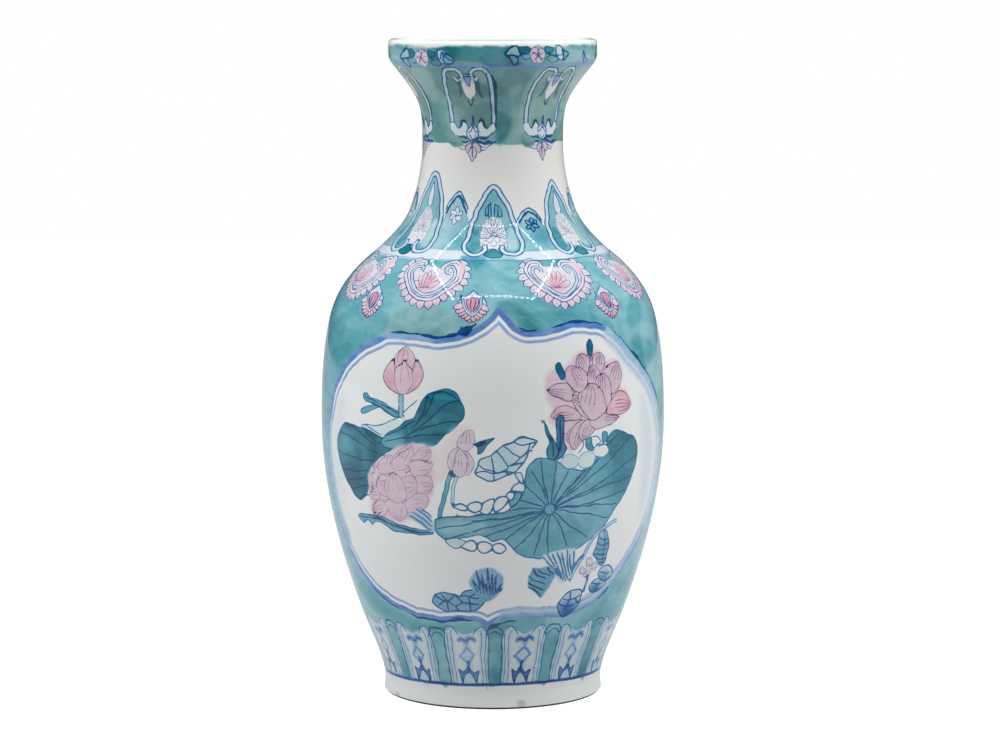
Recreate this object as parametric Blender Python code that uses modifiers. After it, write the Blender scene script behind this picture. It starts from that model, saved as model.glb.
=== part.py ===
"""Porcelain baluster vase with a trumpet neck, a collared mouth and a ring foot.

The vase is modelled as the potter makes it: turned sections that sit on one another in half-lap
joints, with a film of slip between them, and a floor disc that rests on a ledge inside the foot.
Units are metres, +Z is up, the origin is the centre of the foot on the table, and -Y is the front.
"""

import math

import bpy

# Heights of the sections, each measured from the seam below it
FOOT_HEIGHT = 0.0130
LOWER_BELLY_HEIGHT = 0.1390
UPPER_BELLY_HEIGHT = 0.0910
SHOULDER_HEIGHT = 0.0600
TRUMPET_HEIGHT = 0.0430
COLLAR_HEIGHT = 0.0140

# Outside diameters at the stations of the profile, from the table up
FOOT_DIAMETER = 0.1210
WAIST_DIAMETER = 0.1197
FOOT_SEAM_DIAMETER = 0.1214
LOWER_FLANK_DIAMETER = 0.1453
BELLY_DIAMETER = 0.1892
UPPER_FLANK_DIAMETER = 0.1808
SHOULDER_SEAM_DIAMETER = 0.1318
NECK_ROOT_DIAMETER = 0.0901
NECK_DIAMETER = 0.0770
FLARE_DIAMETER = 0.0793
COLLAR_SEAM_DIAMETER = 0.1092
COLLAR_DIAMETER = 0.1140

# Heights of the stations that lie between two seams, measured from the seam below
WAIST_RISE = 0.0085
LOWER_FLANK_RISE = 0.0320
UPPER_FLANK_RISE = 0.0530
NECK_ROOT_RISE = 0.0250
FLARE_RISE = 0.0190
COLLAR_RISE = 0.0060

# Slopes of the profile at the stations, as radius gained for each unit of height
FOOT_SLOPE = -0.10
WAIST_SLOPE = 0.0
FOOT_SEAM_SLOPE = 0.22
LOWER_FLANK_SLOPE = 0.37
BELLY_SLOPE = 0.0
UPPER_FLANK_SLOPE = -0.20
SHOULDER_SEAM_SLOPE = -1.235
NECK_ROOT_SLOPE = -0.356
NECK_SLOPE = 0.0
FLARE_SLOPE = 0.216
COLLAR_SEAM_SLOPE = 0.80
COLLAR_SLOPE = 0.0

# Wall, joints and foot
WALL = 0.0050
LAP_HEIGHT = 0.0030
SLIP_GAP = 0.0003
FOOT_RING_WIDTH = 0.0090
FOOT_CHAMFER = 0.0012
FLOOR_SEAT_HEIGHT = 0.0085
FLOOR_THICKNESS = 0.0060
FLOOR_EDGE_CHAMFER = 0.0010

# Facets
TURN_STEPS = 48
LOWER_BELLY_RINGS = 9
UPPER_BELLY_RINGS = 9
SHOULDER_RINGS = 9
TRUMPET_RINGS = 7
COLLAR_RINGS = 4
FOOT_RINGS = 4
LIP_RINGS = 6
SHARP_EDGE = math.radians(35)

# Seam heights above the table
FOOT_SEAM = FOOT_HEIGHT
BELLY_SEAM = FOOT_SEAM + LOWER_BELLY_HEIGHT
SHOULDER_SEAM = BELLY_SEAM + UPPER_BELLY_HEIGHT
NECK_SEAM = SHOULDER_SEAM + SHOULDER_HEIGHT
COLLAR_SEAM = NECK_SEAM + TRUMPET_HEIGHT
LIP_TOP = COLLAR_SEAM + COLLAR_HEIGHT
LIP_SPRING = LIP_TOP - WALL / 2

# Stations of the outer profile: height, radius and slope
STATIONS = [
    (0.0, FOOT_DIAMETER / 2, FOOT_SLOPE),
    (WAIST_RISE, WAIST_DIAMETER / 2, WAIST_SLOPE),
    (FOOT_SEAM, FOOT_SEAM_DIAMETER / 2, FOOT_SEAM_SLOPE),
    (FOOT_SEAM + LOWER_FLANK_RISE, LOWER_FLANK_DIAMETER / 2, LOWER_FLANK_SLOPE),
    (BELLY_SEAM, BELLY_DIAMETER / 2, BELLY_SLOPE),
    (BELLY_SEAM + UPPER_FLANK_RISE, UPPER_FLANK_DIAMETER / 2, UPPER_FLANK_SLOPE),
    (SHOULDER_SEAM, SHOULDER_SEAM_DIAMETER / 2, SHOULDER_SEAM_SLOPE),
    (SHOULDER_SEAM + NECK_ROOT_RISE, NECK_ROOT_DIAMETER / 2, NECK_ROOT_SLOPE),
    (NECK_SEAM, NECK_DIAMETER / 2, NECK_SLOPE),
    (NECK_SEAM + FLARE_RISE, FLARE_DIAMETER / 2, FLARE_SLOPE),
    (COLLAR_SEAM, COLLAR_SEAM_DIAMETER / 2, COLLAR_SEAM_SLOPE),
    (COLLAR_SEAM + COLLAR_RISE, COLLAR_DIAMETER / 2, COLLAR_SLOPE),
    (LIP_TOP, COLLAR_DIAMETER / 2, COLLAR_SLOPE),
]

# Colours are linear RGB
TEAL_GLAZE = (0.085, 0.235, 0.245, 1.0)
PALE_TEAL_GLAZE = (0.30, 0.47, 0.48, 1.0)
WHITE_GLAZE = (0.74, 0.74, 0.72, 1.0)
FOOT_GLAZE = (0.66, 0.68, 0.69, 1.0)
BARE_PORCELAIN = (0.60, 0.55, 0.47, 1.0)
GLAZE_ROUGHNESS = 0.10
BARE_ROUGHNESS = 0.65


def profile(height):
    """Outer radius and slope at a height: cubic Hermite spans between the stations."""
    spans = zip(STATIONS, STATIONS[1:])
    low, high = next((a, b) for a, b in spans if height <= b[0] or b is STATIONS[-1])
    span = high[0] - low[0]
    t = (height - low[0]) / span
    radius = (
        (2 * t**3 - 3 * t**2 + 1) * low[1]
        + (t**3 - 2 * t**2 + t) * span * low[2]
        + (3 * t**2 - 2 * t**3) * high[1]
        + (t**3 - t**2) * span * high[2]
    )
    slope = (
        6 * (t**2 - t) * (low[1] - high[1]) / span
        + (3 * t**2 - 4 * t + 1) * low[2]
        + (3 * t**2 - 2 * t) * high[2]
    )
    return radius, slope


def wall_point(height, depth):
    """Point of the wall, as (radius, z), at a depth below the outer face, square to that face."""
    radius, slope = profile(height)
    length = math.hypot(1.0, slope)
    return radius - depth / length, height + depth * slope / length


def along(height, length):
    """Height reached by going a short length up the outer face."""
    return height + length / math.hypot(1.0, profile(height)[1])


def wall_run(start, end, depth, rings):
    """Points of the wall at one depth, from one height to another."""
    return [wall_point(start + (end - start) * i / rings, depth) for i in range(rings + 1)]


def spigot(seam):
    """Upper end of a section: the inner half of its wall stands above the seam."""
    top = along(seam, LAP_HEIGHT)
    return [wall_point(top, WALL), wall_point(top, WALL / 2), wall_point(seam, WALL / 2)]


def rebate(seam):
    """Lower end of a section: the outer half of its wall hangs over the spigot below."""
    edge = along(seam, SLIP_GAP)
    shoulder = along(seam, LAP_HEIGHT + SLIP_GAP)
    return [wall_point(edge, WALL / 2 - SLIP_GAP), wall_point(shoulder, WALL / 2 - SLIP_GAP)]


def ring_section(low, high, rings):
    """Closed outline of a section that ends in a rebate below and in a spigot above."""
    outer = wall_run(high, along(low, SLIP_GAP), 0.0, rings)
    inner = wall_run(along(low, LAP_HEIGHT + SLIP_GAP), along(high, LAP_HEIGHT), WALL, rings)
    return outer + rebate(low) + inner + spigot(high)[1:]


def collar_section():
    """Closed outline of the collar, with a round lip on top."""
    outer = wall_run(LIP_SPRING, along(COLLAR_SEAM, SLIP_GAP), 0.0, COLLAR_RINGS)
    inner = wall_run(along(COLLAR_SEAM, LAP_HEIGHT + SLIP_GAP), LIP_SPRING, WALL, COLLAR_RINGS)
    middle, base = wall_point(LIP_SPRING, WALL / 2)
    turns = [math.pi * i / LIP_RINGS for i in range(1, LIP_RINGS)]
    lip = [(middle - WALL / 2 * math.cos(a), base + WALL / 2 * math.sin(a)) for a in turns]
    return outer + rebate(COLLAR_SEAM) + inner + lip


def foot_section():
    """Closed outline of the foot: a chamfered ring with a ledge inside for the floor disc."""
    outer = wall_run(FOOT_SEAM, FOOT_CHAMFER, 0.0, FOOT_RINGS)
    outside = FOOT_DIAMETER / 2 - FOOT_CHAMFER
    inside = FOOT_DIAMETER / 2 - FOOT_RING_WIDTH
    sole = [(outside, 0.0), (inside + FOOT_CHAMFER, 0.0), (inside, FOOT_CHAMFER)]
    ledge = [(inside, FLOOR_SEAT_HEIGHT), (seat_radius(), FLOOR_SEAT_HEIGHT)]
    return outer + sole + ledge + spigot(FOOT_SEAM)


def seat_radius():
    """Radius of the pocket in the foot that centres the floor disc."""
    return wall_point(FOOT_SEAM, WALL)[0]


def floor_section():
    """Open outline of the floor disc, from the axis out, down its edge and back to the axis."""
    edge = seat_radius() - SLIP_GAP
    bottom = FLOOR_SEAT_HEIGHT + SLIP_GAP
    top = bottom + FLOOR_THICKNESS
    return [
        (0.0, top),
        (edge - FLOOR_EDGE_CHAMFER, top),
        (edge, top - FLOOR_EDGE_CHAMFER),
        (edge, bottom),
        (0.0, bottom),
    ]


def glaze(name, colour, roughness):
    """Principled material of one finish."""
    material = bpy.data.materials.new(name)
    material.use_nodes = True
    shader = material.node_tree.nodes["Principled BSDF"]
    shader.inputs["Base Color"].default_value = colour
    shader.inputs["Roughness"].default_value = roughness
    shader.inputs["Metallic"].default_value = 0.0
    return material


def turned(name, outline, material, collection, closed=True):
    """Turned piece: its half outline, swept once round Z by a Screw modifier and made a mesh."""
    points = [(radius, 0.0, z) for radius, z in outline]
    edges = [(i, i + 1) for i in range(len(points) - 1)]
    if closed:
        edges.append((len(points) - 1, 0))
    drawing = bpy.data.meshes.new(name + "_outline")
    drawing.from_pydata(points, edges, [])
    lathe = bpy.data.objects.new(name + "_lathe", drawing)
    collection.objects.link(lathe)
    screw = lathe.modifiers.new("Turn", "SCREW")
    screw.axis = "Z"
    screw.angle = 2 * math.pi
    screw.steps = TURN_STEPS
    screw.render_steps = TURN_STEPS
    screw.use_merge_vertices = True
    screw.merge_threshold = 0.00001

    graph = bpy.context.evaluated_depsgraph_get()
    mesh = bpy.data.meshes.new_from_object(lathe.evaluated_get(graph))
    bpy.data.objects.remove(lathe)
    bpy.data.meshes.remove(drawing)
    mesh.name = name
    mesh.shade_smooth()
    mesh.set_sharp_from_angle(angle=SHARP_EDGE)
    mesh.materials.append(material)
    piece = bpy.data.objects.new(name, mesh)
    collection.objects.link(piece)
    return piece


def clear_scene():
    for thing in list(bpy.data.objects):
        bpy.data.objects.remove(thing, do_unlink=True)


def build():
    clear_scene()
    vase = bpy.data.collections.new("vase")
    bpy.context.scene.collection.children.link(vase)

    teal = glaze("teal_glaze", TEAL_GLAZE, GLAZE_ROUGHNESS)
    pale_teal = glaze("pale_teal_glaze", PALE_TEAL_GLAZE, GLAZE_ROUGHNESS)
    white = glaze("white_glaze", WHITE_GLAZE, GLAZE_ROUGHNESS)
    foot_white = glaze("foot_glaze", FOOT_GLAZE, GLAZE_ROUGHNESS)
    bare = glaze("bare_porcelain", BARE_PORCELAIN, BARE_ROUGHNESS)

    turned("foot_ring", foot_section(), foot_white, vase)
    turned("floor_disc", floor_section(), bare, vase, closed=False)
    lower = ring_section(FOOT_SEAM, BELLY_SEAM, LOWER_BELLY_RINGS)
    turned("lower_belly", lower, pale_teal, vase)
    upper = ring_section(BELLY_SEAM, SHOULDER_SEAM, UPPER_BELLY_RINGS)
    turned("upper_belly", upper, pale_teal, vase)
    shoulder = ring_section(SHOULDER_SEAM, NECK_SEAM, SHOULDER_RINGS)
    turned("shoulder_neck", shoulder, white, vase)
    trumpet = ring_section(NECK_SEAM, COLLAR_SEAM, TRUMPET_RINGS)
    turned("trumpet_mouth", trumpet, teal, vase)
    turned("mouth_collar", collar_section(), teal, vase)


build()
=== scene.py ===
import math

import bpy
import numpy as np
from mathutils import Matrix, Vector
from mathutils.geometry import delaunay_2d_cdt


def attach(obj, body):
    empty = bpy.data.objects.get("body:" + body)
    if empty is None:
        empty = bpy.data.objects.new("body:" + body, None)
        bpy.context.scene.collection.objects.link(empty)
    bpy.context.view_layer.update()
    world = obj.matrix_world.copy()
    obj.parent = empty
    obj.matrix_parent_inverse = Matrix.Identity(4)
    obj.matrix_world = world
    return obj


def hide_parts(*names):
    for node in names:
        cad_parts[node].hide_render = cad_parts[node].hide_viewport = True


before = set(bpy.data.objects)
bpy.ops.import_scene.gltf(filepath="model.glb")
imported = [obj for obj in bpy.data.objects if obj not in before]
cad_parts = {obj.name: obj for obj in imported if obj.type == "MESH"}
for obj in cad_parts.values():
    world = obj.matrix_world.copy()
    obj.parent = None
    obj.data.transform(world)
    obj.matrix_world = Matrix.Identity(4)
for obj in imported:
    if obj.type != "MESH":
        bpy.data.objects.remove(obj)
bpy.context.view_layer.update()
scene = bpy.context.scene
mm = 0.001
print("frame loaded:", len(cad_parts), "nodes")

# Form of the vase. Work here is in millimetres and degrees; the meshes are written in metres.
vaseForm = {
    "stations": [  # height, outer radius, radius gained for each unit of height
        (0.0, 60.5, -0.1), (8.5, 59.85, 0.0), (13.0, 60.7, 0.22), (45.0, 72.65, 0.37),
        (152.0, 94.6, 0.0), (205.0, 90.4, -0.2), (243.0, 65.9, -1.235), (268.0, 45.05, -0.356),
        (303.0, 38.5, 0.0), (322.0, 39.65, 0.216), (346.0, 54.6, 0.8), (352.0, 57.0, 0.0),
        (360.0, 57.0, 0.0),
    ],
    "wall": 5.0, "footWidth": 9.0, "footChamfer": 1.2, "floorSeat": 8.5, "lipLevel": 357.5,
    "cuts": (13.0, 152.0, 243.0, 303.0, 346.0),  # heights of the luted joints
    # mesh: columns, points between two columns on a seam, steps of rows and of drawn lines, clearances
    "columns": 192, "seamFine": 6, "rowStep": 3.0, "borderStep": 0.5, "strokeStep": 0.76, "ringStep": 1.2,
    "cell": 0.31, "clear": 0.2, "batch": 400000,
}
stationZ, stationR, stationSlope = np.array(vaseForm["stations"]).T
firstAngle = -math.pi / 2  # the seams of the skin lie at the sides, between the two panels


# cubic span between two stations that keeps the radius and slope of both: radius and slope at a height
def outerForm(z):
    z = np.asarray(z, float)
    i = np.clip(np.searchsorted(stationZ, z) - 1, 0, len(stationZ) - 2)
    h = stationZ[i + 1] - stationZ[i]
    t = (z - stationZ[i]) / h
    low, high, lowSlope, highSlope = stationR[i], stationR[i + 1], stationSlope[i], stationSlope[i + 1]
    radius = ((2 * t**3 - 3 * t**2 + 1) * low + (t**3 - 2 * t**2 + t) * h * lowSlope
              + (3 * t**2 - 2 * t**3) * high + (t**3 - t**2) * h * highSlope)
    slope = (6 * (t**2 - t) * (low - high) / h + (3 * t**2 - 4 * t + 1) * lowSlope
             + (3 * t**2 - 2 * t) * highSlope)
    return radius, slope


heightTable = np.linspace(0.0, stationZ[-1], 3601)
slantTable = np.concatenate([[0.0], np.cumsum(np.hypot(
    np.diff(heightTable), np.diff(outerForm(heightTable)[0])))])


def slantAt(z):  # length along the outer face from the table
    return np.interp(z, heightTable, slantTable)


def heightAt(s):
    return np.interp(s, slantTable, heightTable)


def wallPoint(z, depth):  # point below the outer face, square to it
    radius, slope = outerForm(z)
    length = np.hypot(1.0, slope)
    return radius - depth / length, z + depth * slope / length


def wrap(angle):
    return (angle + math.pi) % (2 * math.pi) - math.pi


# Painting. Each layer is a drawn path of (degrees, height) points with what it lays on the glaze:
# teal, pink, lavender and moss washes, and cobalt line. Layers are laid in order, later ones on top.
paintLayers = []
handLook = {  # the painter's hand
    "bold": 1.35,  # all drawn lines are this much bolder than their written half widths
    "shakes": ((0.3, 23, 0.21), (0.14, 58, 0.66)),  # size in mm, waves round the vase and up it
    "swell": 0.3, "swellWaves": (41, 0.8),  # how far a line swells, and its waves
    "lineSoft": 0.5, "bandSoft": 0.6, "inkReach": 0.55, "wheelInk": 0.6, "plainDark": 0.75,
}
lineFade, bandFade = handLook["lineSoft"] / 2, handLook["bandSoft"] / 2


# smooth cubic curve through the drawn points; a point given twice makes a corner
def drawnCurve(points, closed, bendStep, straightStep):
    p = np.array(points, float)
    r = outerForm(p[:, 1].mean())[0]
    q = np.stack([np.radians(p[:, 0]) * r, slantAt(p[:, 1])], 1)
    n = len(q)
    runs = []
    for i in range(n if closed else n - 1):
        if closed:
            a, b, c, d = q[i - 1], q[i], q[(i + 1) % n], q[(i + 2) % n]
        else:
            a, b, c, d = q[max(i - 1, 0)], q[i], q[i + 1], q[min(i + 2, n - 1)]
        if np.hypot(*(c - b)) < 1e-6:
            continue
        bends = [abs(math.remainder(math.atan2(*(v - u)) - math.atan2(*(c - b)), 2 * math.pi))
                 for u, v in ((a, b), (c, d)) if np.hypot(*(v - u)) > 1e-6]
        k = max(1, math.ceil(np.hypot(*(c - b)) / (straightStep if sum(bends) < 0.16 else bendStep)))
        t = (np.arange(k) / k)[:, None]
        runs.append(0.5 * (2 * b + (c - a) * t + (2 * a - 5 * b + 4 * c - d) * t**2
                           + (3 * b - a - 3 * c + d) * t**3))
    if not closed:
        runs.append(q[-1:])
    q = np.concatenate(runs)
    angle = q[:, 0] / r
    for shake, turns, climb in handLook["shakes"]:
        q = q + shake * np.stack([np.sin(turns * angle + climb * q[:, 1]),
                                  np.cos((turns + 6) * angle - climb * q[:, 1])], 1)
    return q[:, 0] / r, q[:, 1]


def placed(points, turn=0.0, lift=0.0, flip=1.0, wide=1.0, tall=1.0):
    return [(turn + flip * wide * a, lift + tall * z) for a, z in points]


# one layer: a path turned to its place, its half width, what it lays, its edge line and its softness
def layer(points, turn, closed, half, pigment, edge, dark, soft, cover, inset, tip, taper):
    if pigment is None:
        half *= handLook["bold"]
    edge *= handLook["bold"]
    step = vaseForm["strokeStep"]
    if pigment is not None and edge == 0:  # a soft edge needs few points
        step *= max(1.0, 1.3 * soft)
        longest = 2.2 * step
    else:  # a line's points lie no further apart than its edges, so that it stays unbroken
        longest = min(max(step, 2 * (half if pigment is None else edge) + 0.5), 2.2 * step)
    theta, s = drawnCurve(placed(points, turn), closed, step, longest)
    if tip:  # the wash runs into another towards its tip: angle, height, reach, pigment
        tip = (tip[0] + turn,) + tip[1:3] + (tuple(tip[3]) + (pigment[3],) * (4 - len(tip[3])),)
    t = np.linspace(-1, 1, len(theta))
    around, up = handLook["swellWaves"]
    halves = half * (1 - taper * np.abs(t) ** 3)
    if pigment is None:
        halves = halves * (1 + handLook["swell"] * np.sin(around * theta + up * s))
    mid = 0.5 * (theta.min() + theta.max())
    paintLayers.append({
        "theta": theta - mid, "s": s, "mid": mid, "closed": closed, "halves": halves, "half": half,
        "pigment": pigment, "edge": edge, "dark": dark, "soft": soft, "cover": cover,
        "inset": inset, "tip": tip})


def wash(points, turn=0.0, teal=0.0, pink=0.0, lav=0.0, moss=0.0, edge=0.2, dark=0.7, soft=0.2, cover=1.0, tip=None):
    layer(points, turn, True, 0.0, (teal, pink, lav, moss), edge, dark, soft, cover, 0.0, tip, 0.0)


def tint(points, turn=0.0, **paint):  # a wash with no drawn edge
    wash(points, turn, edge=0.0, **paint)


def brush(points, turn=0.0, half=0.24, dark=0.9, taper=0.55):
    layer(points, turn, False, half, None, 0.0, dark, 0.2, 1.0, 0.0, None, taper)


def brushAll(runs, turn, half, dark):
    for run in runs:
        brush(run, turn, half, dark)


def ribbon(points, half, turn=0.0, teal=0.0, pink=0.0, lav=0.0, moss=0.0, edge=0.0, dark=0.75, closed=False,
           inset=0.0, soft=0.2, tip=None):
    layer(points, turn, closed, half, (teal, pink, lav, moss), edge, dark, soft, 1.0, inset, tip, 0.0)


# distance from each point to a path, in the plane that touches the vase there, and whether it is inside
def pathField(x, y, r, item):
    px = item["theta"][None, :] * r[:, None]
    py = item["s"][None, :]
    hv = item["halves"]
    if item["closed"]:
        px = np.concatenate([px, px[:, :1]], 1)
        py = np.concatenate([py, py[:, :1]], 1)
        hv = np.append(hv, hv[0])
    ax, bx, ay, by = px[:, :-1], px[:, 1:], py[:, :-1], py[:, 1:]
    dx, dy = bx - ax, by - ay
    x, y = x[:, None], y[:, None]
    t = np.clip(((x - ax) * dx + (y - ay) * dy) / (dx * dx + dy * dy + 1e-9), 0, 1)
    dist = np.sqrt((x - ax - t * dx) ** 2 + (y - ay - t * dy) ** 2)
    if item["closed"]:
        crossed = ((ay > y) != (by > y)) & (x < dx * (y - ay) / np.where(dy == 0, 1e-9, dy) + ax)
        sign = np.where(crossed.sum(1) % 2 == 1, -1.0, 1.0)
        signed = sign * dist.min(1)
        if item["half"] > 0:
            return np.abs(signed + item["inset"]) - item["half"]
        return signed
    return (dist - hv[None, :-1]).min(1)


def smooth(t):
    t = np.clip(t, 0, 1)
    return t * t * (3 - 2 * t)


groundBands = {  # plain bands: lower height, upper height, teal, lavender, moss, wave of the edge
    "bellyGround": (13.4, 243.9, 0.45, 0.03, 0.05, 0.3),
    "shoulderRing": (243.9, 248.4, 0.02, 0.085, 0.0, 0.3),
    "shoulderGround": (248.4, 258.0, 0.36, 0.03, 0.0, 0.5),
    "neckTint": (252.0, 304.6, 0.0, 0.0, 0.09, 0.5),
    "trumpetGround": (304.6, 345.6, 0.47, 0.0, 0.62, 0.6),
    "collarLine": (345.6, 348.0, 0.22, 0.52, 0.1, 0.5),
    "collarGround": (348.0, 356.5, 0.5, 0.0, 0.38, 0.55),
}
groundLines = {  # lines drawn on the wheel: height, rise and fall, half width, lavender, cobalt, wave
    "footLine": (13.3, 0.5, 0.9, 0.96, 0.62, 0.22),
    "shoulderLine": (244.2, 0.0, 0.35, 0.6, 0.0, 0.3),
}


def handWave(theta, size, seed):  # slow unevenness of a line drawn on the wheel
    return size * (np.sin(theta * 2 + seed) + 0.6 * np.sin(theta * 5 + 2.1 * seed)
                   + 0.45 * np.sin(theta * 11 + 3.7 * seed) + 0.25 * np.sin(theta * 23 + 1.3 * seed)) / 1.6


def lineHeight(theta, k, level, rise, wave):
    return level + rise * (np.sin(theta) + 1.4 * np.cos(2 * theta - 0.5)) + handWave(theta, wave, k + 9)


def paintGround(theta, z):
    pigment = np.zeros((len(z), 5))
    slope = np.hypot(1.0, outerForm(z)[1])
    for k, (low, high, teal, lav, moss, wave) in enumerate(groundBands.values()):
        up = (z - low - handWave(theta, wave, k)) * slope
        down = (high + handWave(theta, wave, k + 1) - z) * slope
        pigment[:, :4] += smooth(0.5 + np.minimum(up, down) / handLook["bandSoft"])[:, None] * (teal, 0.0, lav, moss)
    return pigment


def paintLines(theta, z, pigment, dark):
    slope = np.hypot(1.0, outerForm(z)[1])
    for k, (level, rise, half, lav, cobalt, wave) in enumerate(groundLines.values()):
        d = np.abs(z - lineHeight(theta, k, level, rise, wave)) * slope - half
        inLine = 0.5 - d / handLook["lineSoft"]
        pigment[:, 2] = np.maximum(pigment[:, 2], smooth(inLine) * lav)
        if cobalt:
            pigment[:, 4] = np.maximum(pigment[:, 4], np.clip(inLine, 0, 1))
            dark[d < handLook["wheelInk"]] = cobalt


# pigments and the strength of the line at points of the outer face, one layer over another
def paintAt(theta, z):
    pigment = paintGround(theta, z)
    dark = np.full(len(z), handLook["plainDark"])
    around, up = handLook["swellWaves"]
    r = outerForm(z)[0]
    s = slantAt(z)
    for item in paintLayers:
        if item["s"].max() < s.min() - 3 or item["s"].min() > s.max() + 3:
            continue
        reach = item["half"] + item["edge"] + max(item["soft"], 0.3) + 0.5
        turn = wrap(theta - item["mid"])
        wide = np.abs(item["theta"]).max()
        near = np.nonzero((np.abs(turn) * r < wide * r + reach) & (s > item["s"].min() - reach)
                          & (s < item["s"].max() + reach))[0]
        if not len(near):
            continue
        d = np.empty(len(near))
        chunk = max(1, vaseForm["batch"] // len(item["s"]))
        for a in range(0, len(near), chunk):
            pick = near[a:a + chunk]
            d[a:a + chunk] = pathField(turn[pick] * r[pick], s[pick], r[pick], item)
        e = d
        if item["pigment"] is not None:
            c = smooth(0.5 - d / (2 * item["soft"])) * item["cover"]
            wanted = np.tile(np.array(item["pigment"]), (len(near), 1))
            if item["tip"]:
                tipAngle, tipHeight, tipReach, tipPigment = item["tip"]
                away = np.hypot(wrap(theta[near] - math.radians(tipAngle)) * r[near],
                                s[near] - slantAt(tipHeight))
                f = smooth(1 - away / tipReach)[:, None]
                wanted = wanted * (1 - f) + np.array(tipPigment) * f
            pigment[near, :4] = pigment[near, :4] * (1 - c[:, None]) + wanted * c[:, None]
            pigment[near, 4] *= 1 - c
            if item["edge"] == 0:
                continue
            swelling = 1 + handLook["swell"] * np.sin(around * theta[near] + up * s[near])
            e = np.abs(d) - item["edge"] * swelling
        dark[near[e < handLook["inkReach"]]] = item["dark"]
        pigment[near, 4] = np.maximum(pigment[near, 4], np.clip(0.5 - e / handLook["lineSoft"], 0, 1))
    paintLines(theta, z, pigment, dark)
    return pigment, dark


# mesh points that follow every path at the offsets where its paint changes
def strokePoints():
    angles, slants = [], []
    for item in paintLayers:
        theta, s = item["theta"], item["s"]
        r = outerForm(heightAt(s))[0]
        if item["closed"]:
            dx = np.roll(theta, -1) * r - np.roll(theta, 1) * r
            dy = np.roll(s, -1) - np.roll(s, 1)
        else:
            dx, dy = np.gradient(theta) * r, np.gradient(s)
        size = np.hypot(dx, dy) + 1e-9
        nx, ny = -dy / size, dx / size
        half = item["half"]
        if item["pigment"] is None:
            offsets = [0.0, half + lineFade, -half - lineFade]
            if half > 0.45:
                offsets += [half - lineFade, lineFade - half]
        else:
            e = item["edge"]
            steps = [-e - lineFade, 0.0, e + lineFade] if e > 0 else [-item["soft"], item["soft"]]
            sides = (-1, 1) if half > 0 else (1,)
            offsets = [side * (half + step) for side in sides for step in steps]
            if item["closed"] and half > 0:
                way = np.sign(np.sum(theta * np.roll(s, -1) - s * np.roll(theta, -1)))
                offsets = [o + item["inset"] * way for o in offsets]
        for o in offsets:
            angles.append(item["mid"] + theta + o * nx / r)
            slants.append(s + o * ny)

    def ring(level, shape, offsets):
        turn = np.linspace(-math.pi, math.pi, int(2 * math.pi * outerForm(level)[0] / vaseForm["ringStep"]))
        for o in offsets:
            angles.append(turn)
            slants.append(slantAt(shape(turn)) + o)

    for k, (low, high, *_, wave) in enumerate(groundBands.values()):
        for level, seed in ((low, k), (high, k + 1)):
            ring(level, lambda turn: level + handWave(turn, wave, seed), (-bandFade, bandFade))
    for k, (level, rise, half, _, _, wave) in enumerate(groundLines.values()):
        ring(level, lambda turn: lineHeight(turn, k, level, rise, wave), (-half - lineFade, 0.0, half + lineFade))
    return (np.concatenate(angles) - firstAngle) % (2 * math.pi) + firstAngle, np.concatenate(slants)


# triangles between two rings of points, as (ring, column) corners; a fine ring is fanned onto a coarse one
def rimCorners(countA, countB):
    few, ratio = min(countA, countB), max(countA, countB) // min(countA, countB)
    j = np.arange(few)
    if ratio == 1:
        return [((0, j), (0, j + 1), (1, j + 1)), ((0, j), (1, j + 1), (1, j))]
    fans = []
    for m in range(ratio):
        own, near = j * ratio + m, j + (m >= ratio // 2)
        fans.append(((0, own), (0, own + 1), (1, near)) if countA > countB else ((0, near), (1, own + 1), (1, own)))
    middle = j * ratio + ratio // 2
    fans.append(((0, middle), (1, j + 1), (1, j)) if countA > countB else ((0, j), (0, j + 1), (1, middle)))
    return fans


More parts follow.
